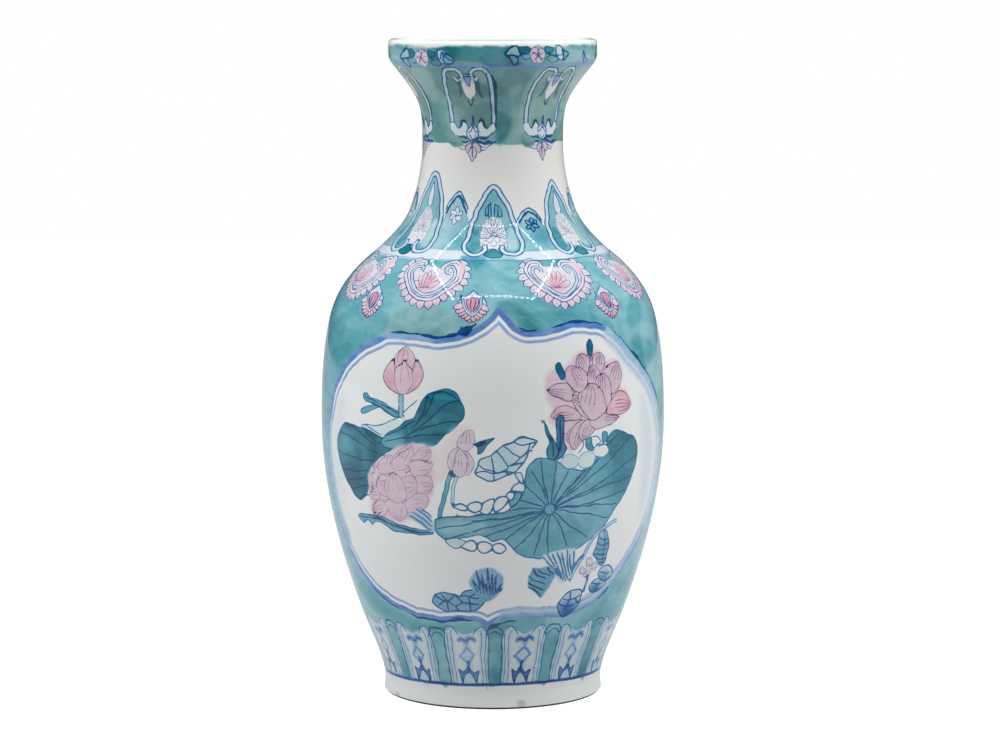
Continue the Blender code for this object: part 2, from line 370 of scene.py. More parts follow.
# One section of the body: its painted outer face is meshed along the brush strokes, and the rest of its
# outline, from the lower outer edge round to the upper outer edge, is turned about the axis
def turnedPiece(name, node, low, high, outline, arcs, material, bareBelow=-1.0):
    columns, fine = vaseForm["columns"], vaseForm["seamFine"]
    angles = firstAngle + 2 * math.pi * np.arange(columns + 1) / columns
    seamAngles = firstAngle + 2 * math.pi * np.arange(columns * fine + 1) / (columns * fine)
    s0, s1 = slantAt(low), slantAt(high)
    rows = np.linspace(s0, s1, max(2, math.ceil((s1 - s0) / vaseForm["rowStep"])) + 1)[1:-1]
    borderRows = np.linspace(s0, s1, math.ceil((s1 - s0) / vaseForm["borderStep"]) + 1)[1:-1]
    meanR = outerForm(np.linspace(low, high, 9))[0].mean()
    clear, cell = vaseForm["clear"], vaseForm["cell"]
    inBand = (pointSlants > s0 + clear) & (pointSlants < s1 - clear)
    bandAngles, bandSlants = pointAngles[inBand], pointSlants[inBand]
    keys = np.stack([np.floor(bandAngles * meanR / cell), np.floor(bandSlants / cell)], 1).astype(int)
    keep = np.sort(np.unique(keys, axis=0, return_index=True)[1])
    bandAngles, bandSlants = bandAngles[keep], bandSlants[keep]
    skinTheta, skinS, skinFaces, skinUv, count = [], [], [], [], 0
    share = columns // arcs
    for k in range(arcs):
        i0, i1 = k * share, (k + 1) * share
        a0, a1 = angles[i0], angles[i1]
        inside = (bandAngles > a0 + clear / meanR) & (bandAngles < a1 - clear / meanR)
        gridA, gridS = np.meshgrid(angles[i0 + 1:i1], rows)
        seam = seamAngles[i0 * fine:i1 * fine + 1]
        a = np.concatenate([gridA.ravel(), seam, seam, np.full(len(borderRows), a0), np.full(len(borderRows), a1),
                            bandAngles[inside]])
        s = np.concatenate([gridS.ravel(), np.full(len(seam), s0), np.full(len(seam), s1), borderRows, borderRows,
                            bandSlants[inside]])
        flat = np.stack([a * meanR, s], 1)
        _, _, faces, source, _, _ = delaunay_2d_cdt([Vector(p) for p in flat], [], [], 0, 1e-5)
        first = np.array([ids[0] for ids in source])
        faces = np.array(faces)
        skinTheta.append(a[first])
        skinS.append(s[first])
        skinFaces.append(faces + count)
        count += len(first)
        u = (a[first] - a0) / (a1 - a0)
        v = 0.06 + 0.94 * (k + 0.003 + 0.994 * (s[first] - s0) / (s1 - s0)) / arcs
        skinUv.append(np.stack([0.002 + 0.996 * u, v], 1)[faces.ravel()])
    theta, s = np.concatenate(skinTheta), np.concatenate(skinS)
    faces, uv = np.concatenate(skinFaces), np.concatenate(skinUv)

    # the arcs share the points of their common columns
    def pointKeys(theta, s):
        return np.stack([np.round(wrap(theta + 1e-7) * 1e5), np.round(s * 1e3)], 1).astype(np.int64)

    key = pointKeys(theta, s)
    _, index, back = np.unique(key, axis=0, return_index=True, return_inverse=True)
    theta, s, faces = theta[index], s[index], back.ravel()[faces]
    whole = (faces != np.roll(faces, 1, axis=1)).all(1)  # two points as close as one leave a face without area
    faces, uv = faces[whole], uv.reshape(-1, 3, 2)[whole].reshape(-1, 2)
    z = heightAt(s)
    radius, slope = outerForm(z)
    skinXyz = np.stack([radius * np.sin(theta), -radius * np.cos(theta), z], 1)
    length = np.hypot(1.0, slope)
    skinNormal = np.stack([np.sin(theta) / length, -np.cos(theta) / length, -slope / length], 1)
    pigment, dark = paintAt(theta, z)

    lookup = {tuple(k): i for i, k in enumerate(key[index])}
    seamCount = columns * fine
    lowEdge, highEdge = (np.array([lookup[tuple(k)] for k in pointKeys(seamAngles[:-1], np.full(seamCount, edge))])
                         for edge in (s0, s1))
    path = np.array([(outerForm(low)[0], low)] + list(outline) + [(outerForm(high)[0], high)])
    turn = angles[:-1]
    innerXyz = np.stack([path[1:-1, 0][:, None] * np.sin(turn), -path[1:-1, 0][:, None] * np.cos(turn),
                         np.repeat(path[1:-1, 1][:, None], columns, 1)], 2).reshape(-1, 3)
    base = len(skinXyz)
    rings = [lowEdge] + [base + i * columns + np.arange(columns) for i in range(len(path) - 2)] + [highEdge]
    run = np.diff(path, axis=0)
    across = np.stack([run[:, 1], -run[:, 0]], 1)
    across /= np.linalg.norm(across, axis=1)[:, None] + 1e-12
    closeFaces, closeNormal, closeUv = [], [], []
    for i in range(len(path) - 1):
        ends = []
        for other in (i - 1, i + 1):  # a gentle bend is smooth, a corner stays sharp
            n = across[i]
            if 0 <= other < len(across) and np.dot(across[i], across[other]) > 0.75:
                n = (across[i] + across[other]) / np.linalg.norm(across[i] + across[other])
            ends.append(n)
        pair = (rings[i], rings[i + 1])
        for corners in rimCorners(len(pair[0]), len(pair[1])):
            ids, normals, uvs = [], [], []
            for side, column in corners[::-1]:
                count = len(pair[side])
                angle = firstAngle + 2 * math.pi * column / count
                ids.append(pair[side][column % count])
                normals.append(np.stack([ends[side][0] * np.sin(angle), -ends[side][0] * np.cos(angle),
                                         np.full(len(column), ends[side][1])], 1))
                uvs.append(np.stack([column / count, np.full(len(column), 0.05 * (i + side) / (len(path) - 1))], 1))
            closeFaces.append(np.stack(ids, 1))
            closeNormal.append(np.stack(normals, 1))
            closeUv.append(np.stack(uvs, 1))
    closeFaces, closeNormal, closeUv = map(np.concatenate, (closeFaces, closeNormal, closeUv))
    xyz = np.concatenate([skinXyz, innerXyz])
    square = np.cross(xyz[closeFaces[:, 1]] - xyz[closeFaces[:, 0]], xyz[closeFaces[:, 2]] - xyz[closeFaces[:, 0]])
    if np.sum(square * closeNormal.mean(1)) < 0:
        closeNormal = -closeNormal
    allFaces = np.concatenate([faces, closeFaces])
    normals = np.concatenate([skinNormal[faces.ravel()], closeNormal.reshape(-1, 3)])
    allUv = np.concatenate([uv, closeUv.reshape(-1, 2)])
    inner = len(innerXyz)
    pigment = np.concatenate([pigment, np.zeros((inner, 5))])
    dark = np.concatenate([dark, np.full(inner, handLook["plainDark"])])
    return glazedPiece(name, node, xyz, allFaces, normals, allUv, pigment, dark, bareBelow, material)


def glazedPiece(name, node, xyz, faces, normals, uv, pigment, dark, bareBelow, material):
    mesh = bpy.data.meshes.new(name)
    mesh.vertices.add(len(xyz))
    mesh.vertices.foreach_set("co", (xyz * mm).ravel())
    mesh.loops.add(faces.size)
    mesh.loops.foreach_set("vertex_index", faces.astype(np.int32).ravel())
    mesh.polygons.add(len(faces))
    mesh.polygons.foreach_set("loop_start", np.arange(len(faces), dtype=np.int32) * 3)
    mesh.update()
    mesh.validate()
    mesh.uv_layers.new(name="OFBake").data.foreach_set("uv", uv.ravel())
    mesh.attributes.new("pigment", "FLOAT_COLOR", "POINT").data.foreach_set("color", pigment[:, :4].ravel())
    bare = (xyz[:, 2] < bareBelow).astype(float)
    finish = np.stack([dark, bare, pigment[:, 4], np.ones(len(xyz))], 1)
    mesh.attributes.new("finish", "FLOAT_COLOR", "POINT").data.foreach_set("color", finish.ravel())
    mesh.shade_smooth()
    mesh.normals_split_custom_set(normals)
    mesh.materials.append(material)
    piece = bpy.data.objects.new(name, mesh)
    scene.collection.objects.link(piece)
    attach(piece, "root")
    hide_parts(node)
    print(name, len(faces), "triangles")
    return piece


# Glaze: white porcelain under washes; each lets through its colour raised to the power of its measure
glazeLook = {
    "white": (0.664, 0.676, 0.668), "thinWhite": 0.985, "bareDark": (0.022, 0.021, 0.016),
    "through": {  # colour that one measure of each pigment lets through
        "teal": (0.03, 0.25, 0.345), "pink": (0.9, 0.5, 0.6), "lav": (0.15, 0.315, 0.74),
        "moss": (0.92, 0.66, 0.52), "cobalt": (0.01, 0.124, 0.36), "plum": (0.07, 0.056, 0.17),
    },
    "most": 1.5, "steps": 7,  # strongest measure on a ramp, and its stops
    "noises": {  # scale, detail, stretch up the vase, distortion
        "broad": (34.0, 3.0, 1.9, 0.9), "streak": (120.0, 4.0, 2.6, 0.5), "grain": (900.0, 3.0, 1.0, 0.0),
        "patch": (17.0, 2.0, 0.8, 1.0), "tide": (25.0, 1.5, 1.2, 1.6),
    },
    "pools": (  # noise, its range, thinnest and thickest wash, curve
        ("patch", 0.45, 0.56, 0.84, 1.16, "SMOOTHSTEP"), ("broad", 0.38, 0.62, 0.88, 1.12, "SMOOTHSTEP"),
        ("streak", 0.25, 0.75, 0.91, 1.09, "LINEAR"), ("tide", 0.482, 0.512, 0.93, 1.07, "SMOOTHSTEP"),
    ),
    "thin": (0.25, 0.75, 0.7, 1.3), "lineGrain": (0.2, 0.8, -0.12, 0.12), "lineEdge": (0.24, 0.72, 0.0, 1.0),
    "lineLoad": (0.25, 0.75, 0.8, 1.15), "plumOnPink": 2.2,
    "roughness": (0.3, 0.7, 0.04, 0.075), "bareRoughness": 0.7, "bump": 0.06, "bumpDepth": 0.0004, "ior": 1.5,
}


def throughRamp(nodes, colour):
    ramp = nodes.new("ShaderNodeValToRGB")
    elements = ramp.color_ramp.elements
    while len(elements) < glazeLook["steps"]:
        elements.new(0.5)
    for i, element in enumerate(elements):
        f = i / (glazeLook["steps"] - 1)
        element.position = f
        element.color = tuple(c ** (f * glazeLook["most"]) for c in colour) + (1.0,)
    return ramp


def makeGlaze(name):
    material = bpy.data.materials.new(name)
    material.use_nodes = True
    tree = material.node_tree
    nodes, links = tree.nodes, tree.links
    shader = nodes["Principled BSDF"]

    def node(kind, **values):
        made = nodes.new(kind)
        for key, value in values.items():
            setattr(made, key, value)
        return made

    def feed(socket, value):
        if isinstance(value, bpy.types.NodeSocket):
            links.new(value, socket)
        else:
            socket.default_value = value

    def math2(operation, a, b, clamp=False):
        made = node("ShaderNodeMath", operation=operation, use_clamp=clamp)
        feed(made.inputs[0], a)
        feed(made.inputs[1], b)
        return made.outputs[0]

    def mix(kind, factor, a, b, **values):
        made = node("ShaderNodeMix", data_type=kind, **values)
        for key, value in (("Factor", factor), ("A", a), ("B", b)):
            feed(made.inputs[key], value)
        return made.outputs["Result"]

    def noise(scale, detail, stretch, distortion):
        mapping = node("ShaderNodeMapping")
        mapping.inputs["Scale"].default_value = (1.0, 1.0, stretch)
        links.new(coords.outputs["Object"], mapping.inputs["Vector"])
        made = node("ShaderNodeTexNoise")
        for key, value in (("Scale", scale), ("Detail", detail), ("Distortion", distortion)):
            made.inputs[key].default_value = value
        links.new(mapping.outputs["Vector"], made.inputs["Vector"])
        return made.outputs["Fac"]

    def ranged(value, low, high, newLow, newHigh, kind="LINEAR"):
        made = node("ShaderNodeMapRange", interpolation_type=kind)
        for key, number in zip(("From Min", "From Max", "To Min", "To Max"), (low, high, newLow, newHigh)):
            made.inputs[key].default_value = number
        links.new(value, made.inputs["Value"])
        return made.outputs["Result"]

    def attribute(name):
        made = node("ShaderNodeAttribute", attribute_name=name)
        split = node("ShaderNodeSeparateColor")
        links.new(made.outputs["Color"], split.inputs["Color"])
        return [split.outputs[key] for key in ("Red", "Green", "Blue")] + [made.outputs["Alpha"]]

    coords = node("ShaderNodeTexCoord")
    teal, pink, lav, moss = attribute("pigment")
    dark, bare, drawn, _ = attribute("finish")
    noises = {name: noise(*values) for name, values in glazeLook["noises"].items()}
    streak = noises["streak"]
    pool = None  # washes pool and thin out as a loaded brush leaves them
    for name, *span in glazeLook["pools"]:
        more = ranged(noises[name], *span)
        pool = math2("MULTIPLY", pool, more) if pool else more
    thin = ranged(streak, *glazeLook["thin"])
    plumHere = math2("MULTIPLY", pink, glazeLook["plumOnPink"], True)
    line = ranged(math2("ADD", drawn, ranged(noises["grain"], *glazeLook["lineGrain"])), *glazeLook["lineEdge"],
            "SMOOTHSTEP")
    line = math2("MULTIPLY", math2("MULTIPLY", line, dark), ranged(streak, *glazeLook["lineLoad"]))
    loads = {"teal": (teal, pool), "pink": (pink, thin), "lav": (lav, thin), "moss": (moss, pool)}
    loads = {name: math2("MULTIPLY", *pair) for name, pair in loads.items()}
    loads["cobalt"] = loads["plum"] = line
    washes = {}
    for name, load in loads.items():
        ramp = throughRamp(nodes, glazeLook["through"][name])
        links.new(math2("DIVIDE", load, glazeLook["most"]), ramp.inputs["Fac"])
        washes[name] = ramp.outputs["Color"]
    white = glazeLook["white"]
    colour = mix("RGBA", ranged(noises["broad"], 0.3, 0.7, 0.0, 1.0),
                 tuple(c * glazeLook["thinWhite"] for c in white) + (1.0,), white + (1.0,))
    lineColour = mix("RGBA", plumHere, washes.pop("cobalt"), washes.pop("plum"))  # plum where it lies on pink
    for through in [*washes.values(), lineColour]:
        colour = mix("RGBA", 1.0, colour, through, blend_type="MULTIPLY")
    # the unglazed foot edge and the floor disc's underside are coloured near black
    feed(shader.inputs["Base Color"], mix("RGBA", bare, colour, glazeLook["bareDark"] + (1.0,)))
    feed(shader.inputs["Roughness"], mix("FLOAT", bare, ranged(streak, *glazeLook["roughness"]),
            glazeLook["bareRoughness"]))
    bump = node("ShaderNodeBump")
    bump.inputs["Strength"].default_value = glazeLook["bump"]
    bump.inputs["Distance"].default_value = glazeLook["bumpDepth"]
    links.new(streak, bump.inputs["Height"])
    links.new(bump.outputs["Normal"], shader.inputs["Normal"])
    shader.inputs["IOR"].default_value = glazeLook["ior"]
    return material


# Pools of thicker and thinner wash on the belly ground, and broad painted shade at both sides of the belly, laid
# before the panels are wiped clean
poolLook = {
    "turns": (0, 180),
    "pools": [  # outline, teal, lavender, moss, softness, cover
        ([(-78, 180), (-66, 196), (-54, 206), (-40, 214), (-30, 216), (-34, 205), (-48, 196), (-58, 184), (-66, 168),
            (-74, 160)], 0.5, 0, 0.04, 3.5, 0.8),
        ([(-40, 212), (-30, 222), (-18, 220), (-12, 214), (-4, 216), (-6, 206), (-20, 203), (-36, 204)], 0.5, 0, 0.42,
            3.2, 0.8),
        ([(2, 224), (8, 224), (13, 218), (17, 212), (14, 206), (7, 208), (3, 216)], 0.7, 0, 0.4, 1.6, 0.85),
        ([(18, 221), (28, 216), (40, 214), (46, 208), (40, 204), (24, 206), (15, 211)], 0.55, 0.02, 0.05, 2.4, 0.7),
        ([(-6, 243), (-3, 232), (4, 226), (12, 228), (12, 243), (4, 246)], 0.4, 0.02, 0.06, 3.5, 0.85),
        ([(42, 244), (46, 230), (54, 222), (62, 226), (62, 240), (54, 245)], 0.34, 0.02, 0.03, 3.5, 0.85),
        ([(50, 216), (60, 214), (70, 208), (76, 196), (68, 192), (58, 198), (50, 206)], 0.37, 0, 0, 3.0, 0.7),
        ([(54, 200), (62, 201), (70, 196), (68, 190), (60, 192)], 0.62, 0, 0.06, 1.8, 0.7),
        ([(-44, 243), (-50, 236), (-58, 226), (-66, 222), (-60, 216), (-46, 222), (-42, 232)], 0.5, 0, 0, 2.6, 0.7),
        ([(-14, 243), (-8, 240), (-4, 243), (-4, 246), (-14, 246)], 0.66, 0.04, 0, 1.4, 0.8),
        ([(-60, 66), (-50, 56), (-38, 50), (-20, 48), (-20, 44), (-44, 44), (-62, 52), (-72, 70)], 0.66, 0, 0.1, 2.4,
            0.8),
        ([(36, 52), (46, 56), (56, 66), (64, 78), (72, 76), (62, 54), (46, 45), (34, 46)], 0.44, 0.06, 0.05, 2.6,
            0.8),
        # the next two pools are painted shade: broad, soft, darker washes at both sides of the belly
        ([(-92, 226), (-76, 214), (-74, 180), (-75, 120), (-72, 90), (-62, 60), (-92, 60)], 0.6, 0.12, 0, 5.0, 0.75),
        ([(92, 220), (78, 208), (76, 180), (77, 120), (74, 90), (64, 64), (92, 60)], 0.6, 0.12, 0, 5.0, 0.75),
        ([(-12, 50), (-2, 44), (-8, 42), (-20, 44)], 0.6, 0, 0.12, 1.4, 0.7),
    ],
}
for turn in poolLook["turns"]:
    for shape, teal, lav, moss, soft, cover in poolLook["pools"]:
        tint(shape, turn, teal=teal, lav=lav, moss=moss, soft=soft, cover=cover)

# Reserve panel: outline of the white window, seen from the front, drawn on the front and on the back
panelLook = {
    "outline": [(2, 221.5), (2, 221.5), (-1, 217), (-4, 213), (-7, 209.6), (-10, 207.6), (-15, 206), (-20, 205.6),
        (-25, 206), (-30, 206.9), (-35, 206.5), (-40, 205), (-45, 201.6), (-50, 197.2), (-54, 193), (-60, 184.5),
        (-65, 174), (-69, 160), (-72, 145), (-73, 128), (-73, 112), (-71, 98), (-67, 85), (-62, 74), (-56, 65.5),
        (-48, 58.5), (-39, 54), (-30, 51.2), (-20, 50.6), (-12, 51.6), (-7, 51.6), (-4.5, 50), (-2.5, 47), (-2.5, 47),
        (0, 49.5), (4, 52.5), (10, 53.5), (18, 53), (26, 52.5), (34, 53), (41, 56), (47, 59.5), (53, 65.5), (59, 75),
        (65, 85), (70, 95.5), (73.5, 107), (75, 122), (75, 138), (73.5, 152), (70, 165), (65, 175.5), (60, 184),
        (54, 192), (49, 200), (45, 206), (41, 209.8), (38, 211.2), (34, 212.4), (30, 212.6), (26, 212), (22, 210.8),
        (18, 209.6), (14, 208.6), (11, 209.4), (9, 211), (7, 213.6), (5, 217), (3.5, 219.6)],
    "bandHalf": 1.6, "bandInset": 1.5, "bandLav": 0.96, "lineInset": 5.7, "lineHalf": 0.75, "lineLav": 0.6,
    "mist": [(-75, 150), (-75, 100), (-69, 84), (-63, 90), (-66, 108), (-68, 130), (-68, 150), (-66, 166),
        (-70, 168)],
    "paleRight": [(43, 209), (49, 200.5), (54.5, 192.4), (60.5, 184), (66, 174.6), (71, 163), (74.5, 148),
        (75.6, 130), (74.4, 110), (70.6, 96), (66, 100), (69, 118), (69.4, 140), (67, 156), (62, 170), (56, 179),
        (50, 187), (45, 195), (41, 202)],
    "paleLow": [(1, 50.6), (4, 53.6), (10, 54.4), (18, 54), (26, 53.6), (34, 54), (41, 57), (47, 60.6), (53, 66.6),
        (59, 76), (66, 88), (70, 97), (65, 98), (60, 86), (53, 76), (46, 68), (38, 62.4), (28, 59), (18, 59),
        (10, 59.6), (4, 58)],
    "paleTop": [(-42, 205), (-37, 206.4), (-30, 207), (-25, 206.2), (-19, 204.4), (-22, 202.8), (-30, 203.4),
        (-38, 203)],
    "sideShade": [(58, 172), (64, 160), (67, 140), (67, 120), (63, 104), (60, 120), (59, 140), (57, 160)],
    "lowTint": [(-50, 68), (-30, 62), (0, 60), (30, 62), (48, 73), (52, 84), (30, 92), (0, 96), (-30, 92), (-52, 84)],
    "accents": [  # darker strokes where the wash of the ground meets the border
        ([(-16, 206.1), (-11, 207.8), (-7.4, 210.2), (-5.6, 212.6)], 0.8, 0.95),
        ([(-12, 207.6), (-9, 209), (-6.6, 211.2)], 1.25, 0.95),
        ([(-37, 206.4), (-31, 207.2), (-25, 206.5)], 0.45, 0.8), ([(-25, 206.3), (-20, 205.7), (-16, 206)], 0.6, 0.9),
        ([(20, 210.3), (26, 212.2), (32, 212.8), (37, 211.8), (41, 210)], 0.5, 0.8),
        ([(9, 211.2), (12, 209), (15, 208.8)], 0.45, 0.7),
        ([(45.4, 207), (50, 200.4), (55, 192.8), (61, 184.2), (66.4, 175), (71.6, 163)], 0.34, 0.66),
        ([(53.4, 195.4), (55.6, 192.2), (57.4, 190)], 0.75, 0.66),
        ([(64, 179.4), (68, 172.4), (71, 165.6)], 0.5, 0.6),
        ([(-36, 53), (-30, 51.2), (-20, 50.6), (-12, 51.6), (-7.5, 51.8)], 0.5, 0.8),
        ([(-19, 50.8), (-14, 52.2), (-9, 51.9)], 0.6, 0.75),
        ([(46.5, 59.6), (49.6, 62.6), (52, 65)], 0.6, 0.65), ([(-55, 65), (-48, 58.8), (-40, 54.6)], 0.4, 0.55),
        ([(-1.6, 47), (0.6, 48.8), (3, 50.2)], 0.9, 0.9), ([(-2.6, 45.4), (-0.6, 44.4), (0.8, 46)], 1.3, 1.0),
        ([(4, 50.6), (7, 51.8), (9, 51)], 0.4, 0.8),
    ],
    "turns": (0, 180),
}
for turn in panelLook["turns"]:
    tint(panelLook["outline"], turn, soft=0.3)
    tint(panelLook["lowTint"], turn, lav=0.018, soft=6.0)
    for side in (-1, 1):
        # painted shade: a soft lavender wash darkens the panel towards both sides
        tint(placed(panelLook["sideShade"], turn, flip=side), lav=0.095 + 0.025 * side, teal=0.012, soft=5.0)
    ribbon(panelLook["outline"], panelLook["bandHalf"], turn, lav=panelLook["bandLav"], moss=0.1, closed=True,
            inset=panelLook["bandInset"], soft=0.35, tip=(2, 212, 26, (0, 0, 1.12, 0.6)))
    ribbon(panelLook["outline"], panelLook["lineHalf"], turn, lav=panelLook["lineLav"], moss=0.14, closed=True,
            inset=panelLook["lineInset"], soft=0.35)
    tint(panelLook["mist"], turn, lav=0.34, teal=0.3, soft=2.6, cover=0.66)
    tint(panelLook["paleRight"], turn, lav=0.24, soft=1.3, cover=0.76)
    tint(panelLook["paleLow"], turn, lav=0.34, teal=0.06, soft=1.1, cover=0.78)
    tint(panelLook["paleTop"], turn, lav=0.4, teal=0.04, soft=0.7, cover=0.75)
    for stroke, half, dark in panelLook["accents"]:
        brush(stroke, turn, half=half, dark=dark, taper=0.85)
print("panel drawn:", len(paintLayers), "layers")

# Lotus pond in the panel, drawn leaf by leaf; coordinates are degrees from the panel's middle and heights
pondLook = {"leafTeal": 1.36, "bigLeafTeal": 0.45, "veinDark": 0.66, "degree": 1.6}  # a degree is about 1.6 mm here


# petals that deepen towards their tips, away from the heart of the flower
def petals(shapes, turn, heart, base, tipPink, dark=0.62, lav=0.05, strokes=2, edge=0.13):
    heartX, heartZ = heart
    degree = pondLook["degree"]
    for shape in shapes:
        p = np.array(shape, float)
        away = np.hypot((p[:, 0] - heartX) * degree, p[:, 1] - heartZ)
        tipX, tipZ = p[away.argmax()]
        reach = max(5.0, 0.75 * (away.max() - away.min()))
        wash(shape, turn, pink=base, lav=lav, edge=edge, dark=dark, tip=(tipX, tipZ, reach, (0, tipPink, lav)))
        footX, footZ = p[away.argsort()[:3]].mean(0)
        acrossX, acrossZ = (tipZ - footZ) / degree, (footX - tipX) * degree
        size = math.hypot(acrossX * degree, acrossZ)
        wide = 0.24 * np.ptp((p[:, 0] * degree * acrossX * degree + p[:, 1] * acrossZ) / size)
        for k in range(strokes):  # fine lines that run down from the tip
            side = wide * (2 * k / max(strokes - 1, 1) - 1 if strokes > 1 else 0)
            spread = [(f, side * g) for f, g in ((0.93, 0.3), (0.66, 0.85), (0.26 + 0.08 * (k % 2), 1.0))]
            brush([(footX + f * (tipX - footX) + o * acrossX / size, footZ + f * (tipZ - footZ) + o * acrossZ / size)
                   for f, o in spread], turn, half=0.12, dark=dark * 0.8, taper=0.9)


pondLeaves = {
    "leftLobe": [(-37, 149.5), (-41, 152.3), (-45, 153.5), (-49, 154.7), (-53, 155.6), (-57, 155.0), (-60, 151.3),
        (-62, 147), (-62.6, 141), (-61.6, 136), (-60, 130.3), (-58.2, 124.5), (-55.5, 120.3), (-53.3, 116.4),
        (-51, 114.6), (-49.3, 115.4), (-47.3, 118.2), (-46, 121.5), (-45, 126), (-44.4, 131), (-42.5, 135.5),
        (-40, 139.3), (-37, 142), (-34.5, 145)],
    "rightLobe": [(-38.5, 148.5), (-36, 153), (-32, 156.5), (-29, 160.5), (-26, 162.6), (-24.6, 168), (-22.6, 173),
        (-20, 176.5), (-15.5, 178.8), (-12.5, 177.3), (-10.6, 173), (-9.2, 168.5), (-9.5, 164), (-11, 160.5),
        (-13, 157), (-15.5, 155), (-17, 152), (-19, 148.8), (-21, 147.5), (-24, 148.8), (-27, 149), (-31, 147.2),
        (-34, 145), (-37, 145.5)],
    "leftVeins": [[(-60.5, 149.5), (-55, 149.3), (-48, 145.5), (-41, 142)], [(-62, 139.5), (-55, 138), (-48, 137.3),
        (-42.5, 137.8)], [(-60, 130), (-52, 130.2), (-45.5, 132)], [(-57.8, 124), (-52, 126), (-46, 128.3)],
        [(-55, 120.3), (-50.5, 122), (-46.5, 123)], [(-56.5, 154.8), (-51, 154), (-47, 150), (-41.5, 146.5)],
        [(-46.5, 153.4), (-43, 150), (-39, 147)], [(-44, 118.5), (-48.5, 117.3), (-51, 114.8)]],
    "rightVeins": [[(-37, 148.5), (-30, 152), (-25, 157), (-20, 163.5), (-15, 170), (-10.8, 173)],
        [(-26.5, 157), (-23.5, 163), (-20.8, 168.5), (-18.6, 177)], [(-24.5, 162), (-22.6, 167), (-21.3, 174.5)],
        [(-27, 155), (-20, 158.7), (-14, 161.5), (-10.5, 162)], [(-36.5, 151.5), (-30.5, 156.5), (-26, 161)],
        [(-31, 151.2), (-24, 153.3), (-18, 154.2), (-15.8, 155)], [(-20.5, 176), (-15.5, 177.2), (-11.8, 173.5)]],
    "twig": [(-31, 164.6), (-35, 167.6), (-40, 170.2), (-43.5, 171.4), (-45.4, 173.6), (-47, 172.5), (-46, 170),
        (-43, 168.3), (-38, 165.6), (-34, 162.8), (-31.5, 162)],
    "twigFork": [(-39.5, 168.2), (-43.5, 167), (-46, 166), (-48, 164.6), (-47.4, 162.5), (-45, 163.2), (-42, 165.3),
        (-39, 167)],
    "twigLines": [[(-46, 171.8), (-41, 169.3), (-36, 166.8), (-30.8, 164)], [(-43, 169), (-37.5, 165.8), (-33, 162.5),
        (-31, 163.2)], [(-38.5, 167.6), (-35, 167.2), (-31, 165.3)], [(-33.6, 161), (-30.4, 163.2)],
        [(-30, 164.3), (-28, 167.5), (-25.3, 171.5)], [(-30.6, 163), (-35, 160.4), (-40, 157), (-47.5, 156.2)],
        [(-48, 156), (-46.8, 154.2), (-43, 153.5)], [(-47.3, 156.3), (-44, 155.2), (-38.5, 152.2)]],
}


def paintLeftLeaf(turn):
    tint([(-33, 161), (-40, 156.9), (-47.7, 156.2), (-46.5, 154), (-40, 152), (-37, 152), (-32, 157)], turn, teal=0.1,
            soft=0.6)
    for lobe, tip in (("leftLobe", (-57, 146, 12, (0.92, 0, 0))), ("rightLobe", (-35, 149, 17, (0.58, 0, 0.12)))):
        wash(pondLeaves[lobe], turn, teal=pondLook["leafTeal"], edge=0.26, dark=0.5, tip=tip)
    brushAll(pondLeaves["leftVeins"] + pondLeaves["rightVeins"], turn, 0.28, pondLook["veinDark"])
    for shape in ("twigFork", "twig"):
        wash(pondLeaves[shape], turn, teal=0.68, lav=0.1, dark=0.6)
    brushAll(pondLeaves["twigLines"], turn, 0.2, 0.7)


budLook = {
    "back": [(-34.5, 191.5), (-33.2, 196), (-30, 199.8), (-27.2, 196.5), (-25.8, 192), (-28, 187), (-32, 187)],
    "sides": [[(-34.6, 192.6), (-37.2, 189), (-38.1, 184), (-37.3, 180), (-35, 176.6), (-31.6, 175.4), (-32.5, 181),
        (-33.6, 187)], [(-25.7, 193.2), (-23.4, 189), (-23, 184), (-24.4, 179.5), (-27.6, 176), (-29.2, 175.4),
        (-27.4, 180), (-27, 187)]],
    "front": [[(-33.0, 188.8), (-31, 190.6), (-30, 192.4), (-28.6, 190.2), (-27.2, 188.5), (-26.7, 184), (-27.5, 179),
        (-29.6, 175.3), (-31.5, 175.5), (-33.2, 179), (-33.9, 183.5)]],
    "tips": [(-34.8, 192.6), (-25.6, 193.1), (-30, 192.2)],
}


def paintBud(turn):
    ribbon([(-30.8, 176), (-30.8, 170), (-30.6, 163.5)], 1.35, turn, teal=0.3, lav=0.1, edge=0.22)
    petals([budLook["back"]], turn, (-30, 178), 0.5, 0.66, strokes=3, dark=0.4, edge=0.15)
    petals(budLook["sides"], turn, (-30, 176), 0.86, 0.52, strokes=1, dark=0.56, edge=0.17)
    petals(budLook["front"], turn, (-30, 178), 0.5, 0.52, strokes=2, dark=0.36)
    brush([(-33.2, 188.6), (-31.2, 190.4), (-30, 192), (-28.6, 190.2), (-27.2, 188.4)], turn, half=0.16, dark=0.8)
    for x, z in budLook["tips"]:
        brush([(x - 0.5, z), (x + 0.5, z + 0.1)], turn, half=0.36, dark=1.0)


